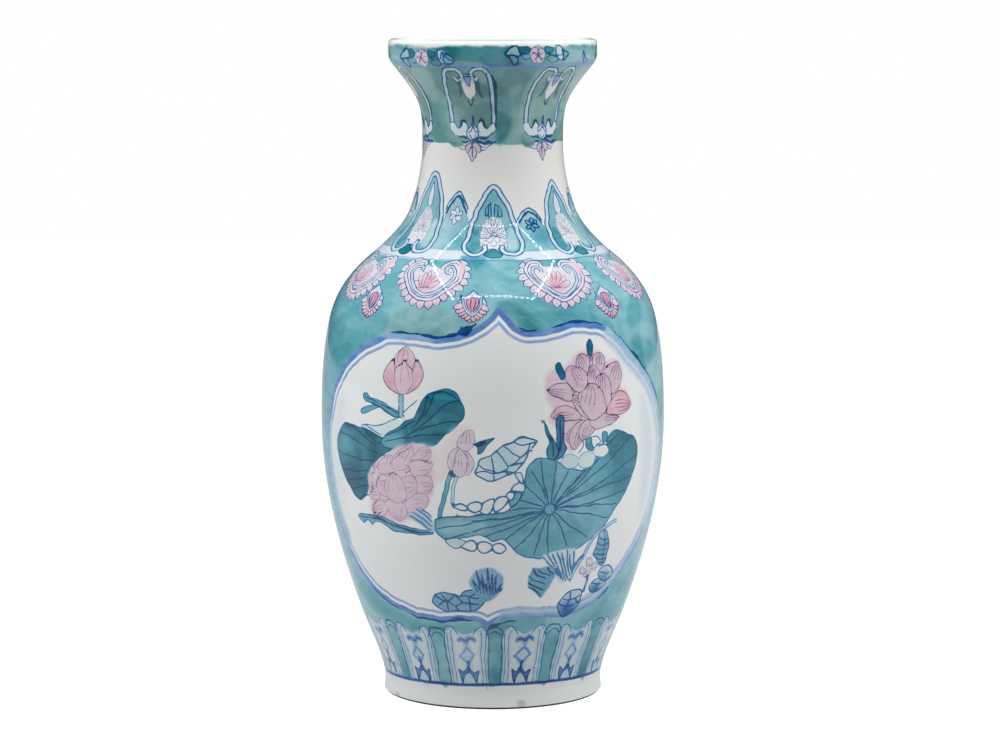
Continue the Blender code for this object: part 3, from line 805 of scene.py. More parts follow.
leftLotus = {
    "haze": [(-46, 122), (-45, 129.5), (-42.5, 135.5), (-38, 140), (-35, 143), (-32, 147.3), (-28, 149.4), (-24, 149),
        (-19.5, 146), (-18.5, 139), (-19, 130), (-20.5, 120), (-23.5, 113), (-29, 107), (-36, 105), (-42, 106.5),
        (-45.3, 110), (-45.3, 116)],
    "petals": [
        [(-40.3, 131), (-40.5, 136), (-38, 139.8), (-34.5, 142), (-32.6, 138), (-34, 133)],
        [(-34.5, 135), (-33.6, 141), (-30.8, 146), (-27.5, 148.9), (-26.4, 144), (-27, 139), (-29.5, 134)],
        [(-27.4, 139.5), (-25.5, 143.5), (-22.5, 147.5), (-20, 146.5), (-20.3, 142.5), (-23, 139.6)],
        [(-28, 136.5), (-25.5, 140.3), (-21, 140.2), (-19.4, 138.6), (-21.5, 134), (-26, 131)],
        [(-25.8, 131), (-21.2, 132), (-19.8, 127), (-21.5, 122.4), (-26, 121.5)],
        [(-26, 122), (-21.8, 120.6), (-22, 116), (-25.6, 111.2), (-30, 111.5), (-31, 116)],
        [(-42.4, 122), (-45.8, 123.6), (-45.2, 129.5), (-42.6, 134.8), (-39.8, 131.5), (-40.3, 126)],
        [(-41, 117.5), (-44.8, 116.4), (-45.4, 119.6), (-43.2, 123.5), (-40.5, 122)],
        [(-44.8, 109.6), (-44.2, 114.2), (-40.2, 116.4), (-37.5, 113), (-39, 108.8), (-42, 106.8)],
        [(-38.5, 115.5), (-36.6, 109), (-33.2, 106.4), (-30.2, 109), (-30.4, 115.2), (-34, 117.4)],
        [(-40.6, 121), (-41.4, 126.8), (-39, 130.6), (-35.5, 128.4), (-35, 122.5), (-37.5, 118.6)],
        [(-31, 118), (-26.4, 121.5), (-25, 127.2), (-27, 131.4), (-31.4, 128.8), (-33, 123)],
        [(-37.4, 119.6), (-38, 126.4), (-34.6, 132.4), (-31.2, 128.6), (-29.6, 121.6), (-32, 116.6), (-35.2, 116.2)],
    ],
    "marks": [[(-33.4, 139.6), (-30.8, 143.6), (-28.2, 146)], [(-36, 131.4), (-34.6, 132.6), (-33, 131)],
        [(-29, 136.6), (-27.6, 134.6), (-28.6, 133)], [(-41.8, 123.6), (-41.4, 126.6), (-39.6, 129.4)],
        [(-45.4, 119.6), (-43.6, 121.6), (-44.2, 125)], [(-44.8, 109), (-43.8, 113.6), (-42, 116)],
        [(-26.6, 139), (-23.4, 140.2), (-20, 139)], [(-44, 129), (-42, 131.4), (-42.4, 134)],
        [(-40, 139.4), (-38.4, 141.4), (-37.4, 140.6)]],
}


def paintLeftLotus(turn):
    tint(leftLotus["haze"], turn, pink=0.56, lav=0.05, soft=1.4)
    tint([(-24, 149), (-17, 149), (-13, 158), (-8, 159), (-6, 155), (-8, 140), (-14, 132), (-20, 128), (-20, 140)],
            turn, pink=0.3, soft=2.2, cover=0.8)
    petals(leftLotus["petals"], turn, (-34, 121), 0.5, 0.62, dark=0.3, lav=0.08, edge=0.13, strokes=3)
    brushAll(leftLotus["marks"], turn, 0.16, 0.45)
    # sedge blades and the floating stalk under the flower
    wash([(-53.6, 105), (-50, 107), (-45, 107.4), (-40, 106.4), (-34, 104.2), (-29, 102.6), (-21.5, 102),
            (-21.5, 100), (-28, 99.6), (-33, 99.5), (-37, 100.6), (-41, 103.4), (-44.5, 103.6), (-46, 102),
            (-47.5, 104), (-49.5, 103.6), (-51, 102.2)], turn, teal=0.52, lav=0.2, dark=0.75)
    brushAll(([(-52.5, 105), (-46, 105.6), (-38, 104), (-30, 101.3), (-22, 101)],
            [(-47, 106.6), (-42, 105.8), (-36, 102.6)], [(-36, 104.8), (-31, 101), (-26, 100.5)],
            [(-45, 107.3), (-43.6, 109.4)], [(-43.5, 107), (-41.8, 109)]), turn, 0.24, 0.85)
    tint([(-29.6, 109.4), (-27, 112.4), (-24.4, 113.2), (-21, 109.3), (-20.6, 101), (-26, 105.4), (-29, 107.6)], turn,
            teal=0.1, lav=0.22, soft=0.5)
    for a, b in (((-29, 109.2), (-21.6, 102.4)), ((-28.2, 111.4), (-21.4, 105)), ((-26.4, 112.8), (-21, 107.4)),
            ((-24.6, 113.2), (-20.8, 110))):
        brush([a, (0.5 * (a[0] + b[0]) + 0.3, 0.5 * (a[1] + b[1]) + 0.4), b], turn, half=0.3, dark=0.62)


midGroup = {
    "paleBud": [[(-14.4, 139), (-13.6, 145.4), (-11, 147.4), (-9.6, 143), (-10.4, 136.5), (-12.4, 133.6)],
        [(-5.6, 150), (-6, 156), (-8, 157), (-10.6, 153), (-11.4, 148.4), (-8.6, 145.8)],
        [(-9.4, 146.2), (-7.4, 145), (-6, 141.4), (-6.4, 136.4), (-8.4, 133), (-10.2, 136.6), (-10.4, 142)],
        [(-12.4, 141), (-11, 146.8), (-9, 144.4), (-8.2, 139.4), (-9.4, 133.2), (-11.6, 132.6), (-12.8, 136.4)]],
    "darkLeaf": [(-5.6, 150), (-5.6, 150), (-3, 152), (0.6, 153.4), (0.6, 153.4), (-1.6, 150.2), (-2.8, 146.6),
        (-4.4, 144.9), (-4.6, 148)],
    "netted": [(-5.6, 134), (-3.5, 131.5), (-0.5, 130.4), (2.5, 131.5), (5, 133.6), (7, 134.6), (8.6, 137.5),
        (10.2, 140), (12, 145.4), (14.4, 150.8), (14.4, 150.8), (12.5, 152.6), (9.5, 153.9), (6.6, 151.2),
        (3.5, 149.2), (1.1, 146.2), (-0.4, 143.6), (-3.6, 141.5), (-4.8, 138)],
    "nettedLines": [[(1.2, 146.2), (3.5, 149.1), (6.8, 151), (10, 153.7), (14.2, 151)],
        [(6.8, 151), (10, 149.6), (14, 150.4)], [(3.5, 149), (6, 146), (8.7, 142), (5, 138)],
        [(1.2, 146), (3.6, 141.5), (5, 138), (4, 136), (1, 135.5), (-0.3, 143.4)],
        [(12, 149.6), (11.5, 145.6), (8.6, 142)], [(5, 138), (7.5, 139), (10.4, 140)], [(0.6, 135.6), (0.6, 131)],
        [(-5.6, 134), (-3.5, 135.2), (0.5, 134.6), (4, 135.4), (7, 134.6)], [(4, 135.3), (5.4, 133.6)],
        [(-4.6, 139), (-2.5, 136.4), (0.6, 135.6)], [(11.4, 145.5), (13, 146)]],
    "cells": [[(6.6, 125), (7.4, 128), (9.8, 129.6), (10.6, 126.8), (9.8, 124.4)],
        [(4.4, 121.4), (5.4, 124), (7.4, 123.8), (7, 121), (5.6, 119.6)], [(0.3, 117), (1.4, 120.4), (4.2, 121.6),
        (5.2, 119.6), (3, 115.2), (1, 113.2)], [(-4, 116), (-2.4, 119.2), (0.1, 120.2), (0.2, 115.4), (-1.4, 112),
        (-3.4, 112.6)], [(-8.5, 115.6), (-6.4, 118.4), (-3.8, 118.6), (-3.6, 114.6), (-6, 113.4)],
        [(-13, 115.4), (-10.6, 117.4), (-8.3, 115.8), (-9, 113.9), (-11.6, 114.4)],
        [(-11, 93.8), (-9, 96.2), (-6.5, 97), (-5.4, 94.6), (-6.2, 91.8), (-9, 92.2)],
        [(-5.2, 94.4), (-4, 97), (-1, 96), (-0.4, 93.2), (-2.2, 90.9), (-4.4, 91.6)],
        [(-0.3, 93.6), (0.6, 95.6), (3, 95.4), (4.8, 92.6), (3, 90.4), (0.8, 90.6)]],
    "broadCell": [(-16.4, 97.6), (-15.6, 95), (-13.2, 93), (-10.9, 93.8), (-9.2, 96.6), (-12.5, 98.8)],
    "darkCell": [(5.3, 121), (6.6, 124.3), (9.4, 124.2), (9.4, 121), (7.8, 118), (6.2, 116.6)],
    "upperCell": [(7.3, 133.6), (8.8, 134.2), (9.8, 131.4), (9.8, 128.6), (8.4, 130.4)],
}


def paintMiddle(turn):
    petals(midGroup["paleBud"], turn, (-9.8, 135), 0.36, 0.46, dark=0.42, lav=0.08, strokes=3, edge=0.12)
    wash(midGroup["darkLeaf"], turn, teal=0.95, lav=0.5, dark=0.8)
    brush([(-5.8, 150), (-4.2, 149.6), (-2.4, 151.2)], turn, half=0.5, dark=1.0)
    ribbon([(-13.4, 134), (-14.8, 128), (-16.3, 120), (-17.8, 110.4)], 1.05, turn, teal=0.5, lav=0.08, edge=0.2,
            dark=0.6)
    ribbon([(-11.6, 132.4), (-12.9, 125), (-13.4, 119), (-13, 115.6)], 0.8, turn, teal=0.08, lav=0.12, edge=0.13,
            dark=0.5)
    brush([(-13.6, 134), (-12.6, 133.2)], turn, half=0.75)
    brush([(-13.4, 117.5), (-13, 115.6), (-12.6, 115.3)], turn, half=0.5)
    wash(midGroup["netted"], turn, teal=0.09, lav=0.05, edge=0.3, dark=0.9, tip=(2, 143, 13, (0.2, 0, 0.04)))
    brushAll(midGroup["nettedLines"], turn, 0.3, 0.85)


bigLeaf = {
    "outline": [(-18.5, 109), (-19.8, 106.5), (-19.9, 102.5), (-18.6, 99.4), (-16.4, 97.6), (-12, 98.8), (-8, 99.4),
        (-4.6, 100.3), (-2, 99.4), (0, 97.4), (3, 98.4), (5.2, 96.4), (8, 92), (11, 88.6), (14, 87.3), (17, 87),
        (20, 89.8), (24, 91), (28, 90.5), (31, 91.2), (34, 93.5), (38, 97), (41, 101), (44, 106), (47, 112),
        (50, 118), (52.5, 124), (54.5, 132), (55.4, 139), (55, 145), (53.5, 148.3), (50.5, 150), (48, 152),
        (45, 153.8), (42.5, 152.8), (41, 150.5), (40, 146.5), (38, 143.5), (36, 141), (35, 138), (33.5, 135),
        (31, 133.6), (28, 135), (24, 136), (22, 138.5), (20.5, 140), (18, 141.8), (15.5, 142.2), (13.5, 140.5),
        (11.5, 137), (10.5, 133), (10.5, 128), (10, 123), (8, 119), (5, 114.6), (2, 112.4), (-3, 111.6),
        (-10, 110.6)],
    "shades": [([(-17.6, 107.6), (-18.6, 103), (-16, 99.6), (-9, 100.4), (-3, 102), (-3, 108), (-10, 109)], 0.2, 0.12,
        2.4), ([(9, 92), (14, 89), (20, 91), (26, 92.4), (33, 94.6), (37, 99), (30, 101), (16, 98)], 0.52, 0.02, 2.2),
        ([(10.6, 121), (11.6, 130), (14.6, 138), (17, 139), (15.6, 128), (13, 119)], 0.52, 0.04, 1.6)],
    "hub": (19.2, 114.2, 3.1), "degree": 1.58,
    "rim": [(-16.6, 97.8), (-2.6, 100), (4.6, 97.4), (7.6, 92.4), (14.6, 89), (19.9, 89.6), (27, 93), (34.8, 97),
        (42.5, 106.4), (46.2, 113.6), (49.6, 120.6), (52.8, 127.4), (54.6, 139), (51, 149), (45, 152), (39, 143.6),
        (32.6, 134), (25.6, 135.8), (20.8, 139.4), (16, 140.6), (12.8, 135.6), (10.6, 128), (9, 120.2), (4.4, 114.2),
        (-7, 108.2), (-19.4, 103)],
}


def paintBigLeaf(turn):
    wash(bigLeaf["outline"], turn, teal=pondLook["bigLeafTeal"], lav=0.15, edge=0.28, dark=0.62,
            tip=(53, 144, 46, (1.46, 0, 0)))
    for shape, teal, lav, soft in bigLeaf["shades"]:
        tint(shape, turn, teal=teal, lav=lav, soft=soft, cover=0.8)
    (hubX, hubZ, hubR), degree = bigLeaf["hub"], bigLeaf["degree"]
    for k, (x, z) in enumerate(bigLeaf["rim"]):
        ux, uz = (x - hubX) * degree, z - hubZ
        far = math.hypot(ux, uz)
        start = (hubX + hubR * ux / far / degree, hubZ + hubR * uz / far)
        bend = 0.035 * far * math.sin(k * 2.4)
        middle = (0.5 * (start[0] + x) - bend * uz / far / degree, 0.5 * (start[1] + z) + bend * ux / far)
        brush([start, middle, (x, z)], turn, half=0.28, dark=pondLook["veinDark"], taper=0.5)
    hub = [(hubX + hubR / degree * math.cos(a), hubZ + hubR * math.sin(a)) for a in np.linspace(0, 2 * math.pi,
            13)[:-1]]
    wash(hub, turn, teal=0.46, lav=0.16, edge=0.28, dark=0.75)
    wash(midGroup["darkCell"], turn, teal=0.5, edge=0.3, dark=0.85)
    for cell in midGroup["cells"]:
        wash(cell, turn, teal=0.03, edge=0.34, dark=0.85)
    wash(midGroup["broadCell"], turn, teal=0.14, dark=0.85)
    wash(midGroup["upperCell"], turn, teal=0.06, edge=0.27, dark=0.8)
    brush([(-18.4, 109.2), (-10, 110.7), (-3, 111.8), (2, 112.4)], turn, half=0.34, dark=0.85)


def paintPebbles(turn):
    for x, z, rx, rz, teal in ((22.6, 140.4, 1.4, 1.4, 0), (37.4, 143.6, 3.6, 3.4, 0.05), (26, 139.4, 3.3, 3.7, 0.16),
            (32.2, 139.4, 3.1, 4.6, 0.1)):
        wash([(x + rx * math.cos(a), z + rz * math.sin(a)) for a in np.linspace(0, 2 * math.pi, 11)[:-1]], turn,
                teal=teal, edge=0.16, dark=0.4)
    wash([(32, 152.2), (31.3, 148.5), (32.5, 145), (34.4, 144.7), (33.7, 148), (33.6, 151.5)], turn, teal=0.85,
            edge=0.22)
    wash([(38.6, 153.4), (40.3, 152.8), (40.3, 148.6), (38.2, 147.6), (38.3, 150.6)], turn, teal=0.85, lav=0.1)
    brushAll(([(33.6, 152), (36, 151.6), (37.4, 148.4), (35.4, 147.2)], [(36.5, 146), (40, 146.6)],
            [(38, 156.6), (42, 157)], [(29.6, 151.6), (30.6, 147.6), (29, 144)]), turn, 0.24, 0.7)


rightLotus = {
    "haze": [(17.2, 178), (17.4, 184), (20.6, 188.5), (25, 190.5), (28, 195.4), (32, 197), (38, 196.6), (40, 191.6),
        (46.2, 190.4), (47.6, 184), (46.4, 177), (50, 172.4), (51.8, 167), (48.4, 163), (43, 160.2), (38, 157.4),
        (33, 154), (29.6, 149.6), (27, 145), (25, 145.6), (23.4, 152), (21.6, 158), (18.6, 161.6), (19.6, 167),
        (18.2, 172)],
    "petals": [
        [(33, 189), (32.6, 193.6), (34.4, 196.4), (36, 193.6), (35.6, 188)],
        [(35.4, 188.6), (35.2, 193.6), (37.6, 196.3), (39.8, 193.4), (39.6, 188.6), (37.8, 185.6)],
        [(28.6, 187), (28.4, 192.6), (30, 195.6), (31.6, 195.8), (33.8, 192.6), (33.4, 188), (31.6, 184.6)],
        [(39.4, 183), (40.4, 187.8), (43, 189.4), (45.8, 190), (47.2, 186), (46.8, 181), (45.4, 176), (42.6, 174)],
        [(24.4, 183.6), (24.8, 188.6), (26.6, 190.3), (29.4, 188.8), (31.8, 186), (32.6, 183.6), (31.8, 178),
            (28.4, 176)],
        [(32.4, 181.6), (33, 186.4), (34.6, 189.8), (36.8, 188.2), (38, 184.6), (37, 180), (34.6, 177.6)],
        [(17.6, 178), (17.6, 178), (19.6, 180.2), (22.2, 181.6), (24.8, 181), (26.8, 177.4), (27.6, 173.2),
            (25.4, 171.2), (21.6, 173.4), (19, 175.8)],
        [(19.4, 163), (20.6, 167.6), (23.4, 169), (27, 168), (29.6, 164), (29.2, 161.4), (24.6, 160.2)],
        [(22.4, 159.8), (26, 161.4), (29.6, 161), (30, 156), (27.6, 150), (25, 149.6), (24, 154.6)],
        [(25.6, 153.6), (27.4, 159), (31, 160.6), (33.2, 157.6), (31, 151.6), (27.8, 145.6), (26, 147.4)],
        [(51.6, 166.6), (51.6, 166.6), (49.6, 171.8), (46, 174.8), (43, 171.4), (39.7, 165.5), (41, 162.8),
            (45.6, 161.8), (49.6, 163.4)],
        [(28.6, 155), (30.6, 159.6), (34.6, 161), (35.8, 157.4), (33, 152.6), (29.8, 150)],
        [(45.8, 160.6), (45.8, 160.6), (41.6, 157.2), (36.4, 155.8), (33, 158.6), (35.4, 163), (40, 164)],
        [(35.4, 179.4), (36.6, 183.2), (38.8, 184.8), (41.2, 182), (42.4, 176.6), (42, 170), (40, 165), (37.4, 168)],
        [(27.2, 170.4), (27, 174.8), (28.8, 176), (31.6, 172.6), (33.6, 166), (33.4, 160.8), (30, 163.6)],
        [(29.4, 170), (29, 174.4), (31, 177.6), (33.4, 180.6), (36.6, 178.2), (38.8, 173), (39.6, 166), (37.4, 162.4),
            (34.4, 160.4), (31.6, 163.6)],
    ],
    "rosy": 10,  # the petal that is painted again in a deeper pink
    "dots": [(30, 195.5), (32.3, 184.6), (41, 187.8), (38.4, 184.4), (27, 174.4), (39.7, 165.3), (18, 178),
        (36.8, 177.6), (42.4, 173.6), (32.5, 180)],
    "greenTips": [[(21.2, 190.4), (22.4, 192), (23.4, 189), (24.5, 185), (23.2, 183.4), (21.9, 186.6)],
        [(33.4, 196.6), (33.2, 201), (34.4, 203.2), (35.3, 200), (35.1, 195.4), (34.2, 194.2)]],
    "pointed": [(17, 160.6), (17, 160.6), (18.4, 155.6), (20.2, 151), (21.4, 145.6), (20.4, 141.4), (18.2, 141.6),
        (17.6, 146), (18.4, 150.6), (17.3, 156)],
    "stalk": [(21.2, 162.6), (23.3, 162.6), (23.7, 150), (24.6, 146), (22.2, 141.6), (20.2, 141.6), (21.2, 150)],
}


def paintRightLotus(turn):
    tint(rightLotus["haze"], turn, pink=0.52, lav=0.03, soft=1.5)
    petals(rightLotus["petals"], turn, (33.5, 168), 0.54, 0.74, dark=0.62, lav=0.1, strokes=4, edge=0.14)
    petals([rightLotus["petals"][rightLotus["rosy"]]], turn, (33.5, 168), 0.74, 1.4, dark=0.66, lav=0.02, strokes=4,
            edge=0.13)
    for x, z in rightLotus["dots"]:
        brush([(x - 0.35, z - 0.2), (x + 0.35, z + 0.2)], turn, half=0.34)
    for shape in rightLotus["greenTips"]:
        wash(shape, turn, teal=0.95, lav=0.2)
    wash(rightLotus["stalk"], turn, teal=0.8, lav=0.45, edge=0.24, dark=0.8)
    wash(rightLotus["pointed"], turn, teal=0.9, edge=0.26, dark=0.8)
    brushAll(([(22.2, 162), (22.4, 152), (21.4, 143)], [(17.6, 159), (19.4, 150), (19.8, 142.4)],
            [(23.4, 156), (22.6, 148), (21, 142)]), turn, 0.3, 0.85)


shoreLook = {
    "stripedLeaf": [(40.4, 98), (42.5, 99.3), (44.6, 96), (46, 91), (46.1, 86), (46, 81), (44.5, 78.8), (42.5, 81),
        (40.5, 84.4), (39, 86.6), (40.2, 92)],
    "stripes": [[(40.6, 95.4), (42.4, 93.8), (45, 94.6)], [(40.2, 92.4), (42.6, 91), (45.8, 91.6)],
        [(39.6, 89.4), (42.6, 88.4), (46, 88.6)], [(39.2, 86.6), (42.6, 85.8), (46, 85.6)],
        [(40.6, 84.4), (43, 83.2), (46, 82.6)], [(42, 81.6), (44, 80.8), (45.8, 80.4)],
        [(42.4, 98.6), (44, 90), (44.6, 80)]],
    "fan": [(17.6, 88), (20, 90), (24, 90.8), (29, 90.8), (30.6, 90.2), (31.6, 80), (30, 74.4), (27, 72), (24, 75),
        (20.4, 82)],
    "fanTips": [(18, 88), (19.6, 89.4), (21.6, 88.6), (23.6, 90), (25.6, 88.6), (27.4, 90.2), (28.6, 88),
        (30.2, 89.8)],
    "fanFeet": [(24.6, 76.4), (26, 75), (27.2, 73.8), (28.4, 73.2), (29.2, 73.8), (30, 75.2), (30.8, 77.4),
        (31.4, 79.6)],
    "smallLeaf": [(13.2, 75), (14, 78), (15, 81.9), (17, 81.4), (20, 82.2), (22.5, 80), (23.4, 76), (22, 70.4),
        (20, 66), (18.5, 64.3), (16.5, 67), (13.5, 71)],
    "smallLeafLines": [[(15, 81.5), (16.4, 78), (19.5, 75.5)], [(13.6, 77.4), (16, 74.5), (20, 72)],
        [(13.4, 73.6), (16, 71), (19.8, 68.6)], [(17, 81), (18.6, 78.6), (21.6, 76.6)],
        [(13.4, 71), (16, 68.8), (18.6, 65)], [(20, 81.8), (21, 79), (22.6, 77.4)]],
    "leafPair": [([(40.4, 68.5), (42, 71), (45.5, 71.2), (49.4, 69.6), (46.6, 65.6), (43, 64.2), (41, 65.4)], 0.62),
        ([(43.4, 75), (45, 77.8), (48, 78.5), (51, 76.6), (52.2, 73.4), (50, 70.4), (46, 70.4), (44, 72.4)], 0.36)],
    "rock": [(27, 59), (28.4, 63), (31, 66.5), (34.5, 67.4), (37, 66), (37, 61), (36, 57.4), (33.5, 54), (31, 52.4),
        (28.5, 54.4)],
    "tuft": [(-8.6, 75), (-7, 79), (-4, 81.6), (0, 81.8), (3, 79), (4.2, 75), (3.5, 69.5), (1, 65.5), (-3, 63),
        (-6, 66), (-8, 71)],
    "tuftTips": [(-7.6, 75), (-6, 80.6), (-4, 78.4), (-1.5, 82), (0.2, 78.6), (1.6, 77.4), (3.6, 73.4), (3.8, 70.4)],
    "net": [(-24, 61.4), (-22.5, 65.2), (-19, 67.1), (-14.5, 66.6), (-12.5, 66), (-10.5, 68.6), (-7, 68.9),
        (-4.5, 66), (-3.4, 63), (-5.5, 59), (-9, 57.2), (-14, 56.9), (-19, 57.1), (-22.5, 59)],
    "netLines": [[(-22.6, 64.8), (-18.2, 62.6), (-14.6, 66.6)], [(-21.6, 59.6), (-18.2, 62.6), (-14.6, 59.6)],
        [(-14.6, 66.4), (-12, 62), (-14.6, 59.6), (-13.6, 57)], [(-12, 62), (-9, 61.4), (-5.2, 61.4)],
        [(-12.4, 65.8), (-9, 65), (-8.8, 57.6)], [(-8.8, 65), (-6.4, 67.6)], [(-9, 65), (-5, 64.6)],
        [(-20.6, 66.6), (-18.2, 62.6), (-17.6, 57.2)]],
}


def paintShore(turn):
    ribbon([(30.4, 74), (32.6, 81), (35.4, 89.6), (38.6, 97), (42, 100.6), (47.6, 103.6)], 0.95, turn, lav=0.42,
            edge=0.16, dark=0.45)
    tint(shoreLook["fan"], turn, teal=0.04, lav=0.15, soft=0.7)
    for base, tip in zip(shoreLook["fanFeet"], shoreLook["fanTips"]):
        brush([base, (0.5 * (base[0] + tip[0]) - 0.3, 0.5 * (base[1] + tip[1]) + 0.5), tip], turn, half=0.34,
                dark=0.68)
    brush([(30.6, 76), (31.4, 82), (34.2, 87)], turn, half=0.6, dark=0.6)
    wash(shoreLook["stripedLeaf"], turn, teal=0.48, lav=0.3, dark=0.8, tip=(41.6, 97, 8, (0.15, 0, 0.3)))
    brushAll(shoreLook["stripes"], turn, 0.24, 0.7)
    tint(shoreLook["smallLeaf"], turn, teal=0.3, lav=0.34, soft=0.5, tip=(20, 66, 9, (0.46, 0, 0.1)))
    brushAll(shoreLook["smallLeafLines"], turn, 0.36, 0.78)
    petals([[(36.6, 78), (34.4, 80), (33.8, 77.4), (35.4, 75.4)], [(37, 79.4), (36, 83.8), (38.2, 84.6), (39, 81)],
            [(39, 80), (41.6, 82.4), (42.4, 80), (40.6, 77.4)], [(37, 77), (36, 74.6), (38.4, 74), (39, 76.6)],
            [(36.6, 77.6), (37.4, 80.4), (39.4, 79.6), (39.2, 76.8)]], turn, (38, 78), 0.16, 0.26, dark=0.4, lav=0.1,
            strokes=2)
    ribbon([(38, 75), (38.4, 70.5), (38, 66)], 0.45, turn, lav=0.5, edge=0.2, dark=0.8)
    for shape, teal in shoreLook["leafPair"]:
        low = min(z for x, z in shape)
        wash(shape, turn, teal=0.1, lav=0.16, edge=0.3, dark=0.82, tip=(shape[0][0] + 3, low, 7.5,
                (teal + 0.4, 0, 0.3)))
    brushAll(([(41, 69.6), (44, 68.4), (48.6, 69.4)], [(45.4, 70.6), (44, 67), (44.6, 64.8)],
            [(44.4, 75.4), (47.4, 74.2), (51.6, 74.4)]), turn, 0.26, 0.7)
    wash(shoreLook["rock"], turn, teal=0.06, lav=0.24, edge=0.34, dark=0.88, tip=(31.4, 53.6, 11, (0.55, 0, 1.3)))
    brushAll(([(28.2, 62.6), (31, 61.8), (34, 62.4), (37, 64)], [(31.2, 66), (31.6, 61.8), (30.4, 57)],
            [(34, 62.6), (35.4, 60), (36.4, 58.6)], [(27.4, 59.6), (30, 58.4), (33, 58.6), (36, 60)]), turn, 0.36,
            0.76)
    wash(shoreLook["net"], turn, teal=0.27, lav=0.36, edge=0.3, dark=0.8)
    brushAll(shoreLook["netLines"], turn, 0.32, 0.76)
    tint(shoreLook["tuft"], turn, teal=0.24, lav=0.36, soft=0.7, tip=(-5, 66, 12, (0.36, 0, 0.28)))
    for k, tip in enumerate(shoreLook["tuftTips"]):
        base = (-5.0 + 1.05 * k, 67.4 + 0.3 * (k - 3.5) ** 2 / 4)
        for side in (-0.6, 0.6):
            brush([(base[0] + side, base[1]), (0.5 * (base[0] + tip[0]) + side * 0.6, 0.5 * (base[1] + tip[1])), tip],
                    turn, half=0.27, dark=0.76)


for turn in panelLook["turns"]:
    paintLeftLeaf(turn)
    paintBud(turn)
    paintLeftLotus(turn)
    paintMiddle(turn)
    paintBigLeaf(turn)
    paintPebbles(turn)
    paintRightLotus(turn)
    paintShore(turn)
print("pond painted:", len(paintLayers), "layers")


# rounded or pointed petal from its base to its tip, as a closed loop of (degrees, height)
def petalAt(base, tip, half, point=0):
    r, slope = outerForm(0.5 * (base[1] + tip[1]))
    kx, kz = math.radians(1) * r, math.hypot(1, slope)
    ax, az = (tip[0] - base[0]) * kx, (tip[1] - base[1]) * kz
    size = math.hypot(ax, az)
    loop = []
    for along, across in ((0, -0.55), (0.35, -0.95), (0.72, -0.88 + 0.35 * point), (0.94, -0.42 * (1 - point)),
            (1.0, 0), (0.94, 0.42 * (1 - point)), (0.72, 0.88 - 0.35 * point), (0.35, 0.95), (0, 0.55)):
        x = ax * along - az / size * half * across
        z = az * along + ax / size * half * across
        loop.append((base[0] + x / kx, base[1] + z / kz))
    return loop


def mirrored(half):  # left and right halves joined into one run
    return [(-x, z) for x, z in half[::-1]] + [p for p in half if p[0] > 0 or len(half) < 2]


# fringe of petals along a run: each grows outwards from the heart and droops; gives foot, tip and how low it hangs
def fringe(run, heart, count, reach, droop, degree=1.4, slant=1.3):
    p = np.array(run, float)
    along = np.concatenate([[0], np.cumsum(np.hypot(np.diff(p[:, 0]) * degree, np.diff(p[:, 1]) * slant))])
    places = np.linspace(0, along[-1], count)
    feet = zip(np.interp(places, along, p[:, 0]), np.interp(places, along, p[:, 1]))
    for x, z in sorted(feet, key=lambda foot: foot[1]):
        ux, uz = (x - heart[0]) * degree, (z - heart[1]) * slant
        size = math.hypot(ux, uz)
        low = float(smooth(0.4 - 1.1 * uz / size))
        ux, uz = ux / size, uz / size - droop
        size = math.hypot(ux, uz)
        yield (x, z), (x + reach * ux / size / degree, z + reach * uz / size / slant), low


# Flower heads on the upper belly: two scrolled ribbons in a heart, a fan of petals inside, a fringe outside
headLook = {
    "turns": (-66, -26.5, 27.2, 70, 114, 153.5, 207.2, 250), "heart": (0, 235.0), "fringe": 19, "reach": 7.0,
    "half": 2.6, "droop": 0.62,
    "outer": [(-5, 241.4), (-5.4, 242.7), (-8, 243.1), (-11, 242), (-12.7, 239.6), (-12.5, 237), (-10.7, 233.8),
        (-7.7, 230), (-4.7, 226.8), (-1.9, 224.8), (0.5, 224.3), (3.5, 225.3), (6.7, 227.8), (10.1, 230.8),
        (12.7, 234), (13.6, 237.5), (13.1, 240.6), (10.9, 242.8), (7.5, 243), (4.7, 241.8), (4.1, 240.2)],
    "inner": [(-5.5, 238.6), (-5.6, 239.8), (-7.2, 240.5), (-9.0, 240), (-9.9, 238), (-8.9, 235.4), (-7.2, 232.9),
        (-4.7, 229.8), (-2.1, 227.5), (0.3, 226.7), (3.1, 227.6), (5.9, 229.8), (8.7, 233), (10.2, 236), (10, 239),
        (8.2, 240.7), (6.2, 240), (6.4, 238.2), (7.7, 237.7)],
    "outerHalf": 0.95, "innerHalf": 0.85, "core": (-0.6, 230.6), "fan": (-70, -47, -24, 0, 24, 47, 70),
    "blush": [(11.6, 236.6), (14, 237), (14.2, 240.6), (12.4, 242.8), (11, 241.6), (12.4, 239.4)],
}
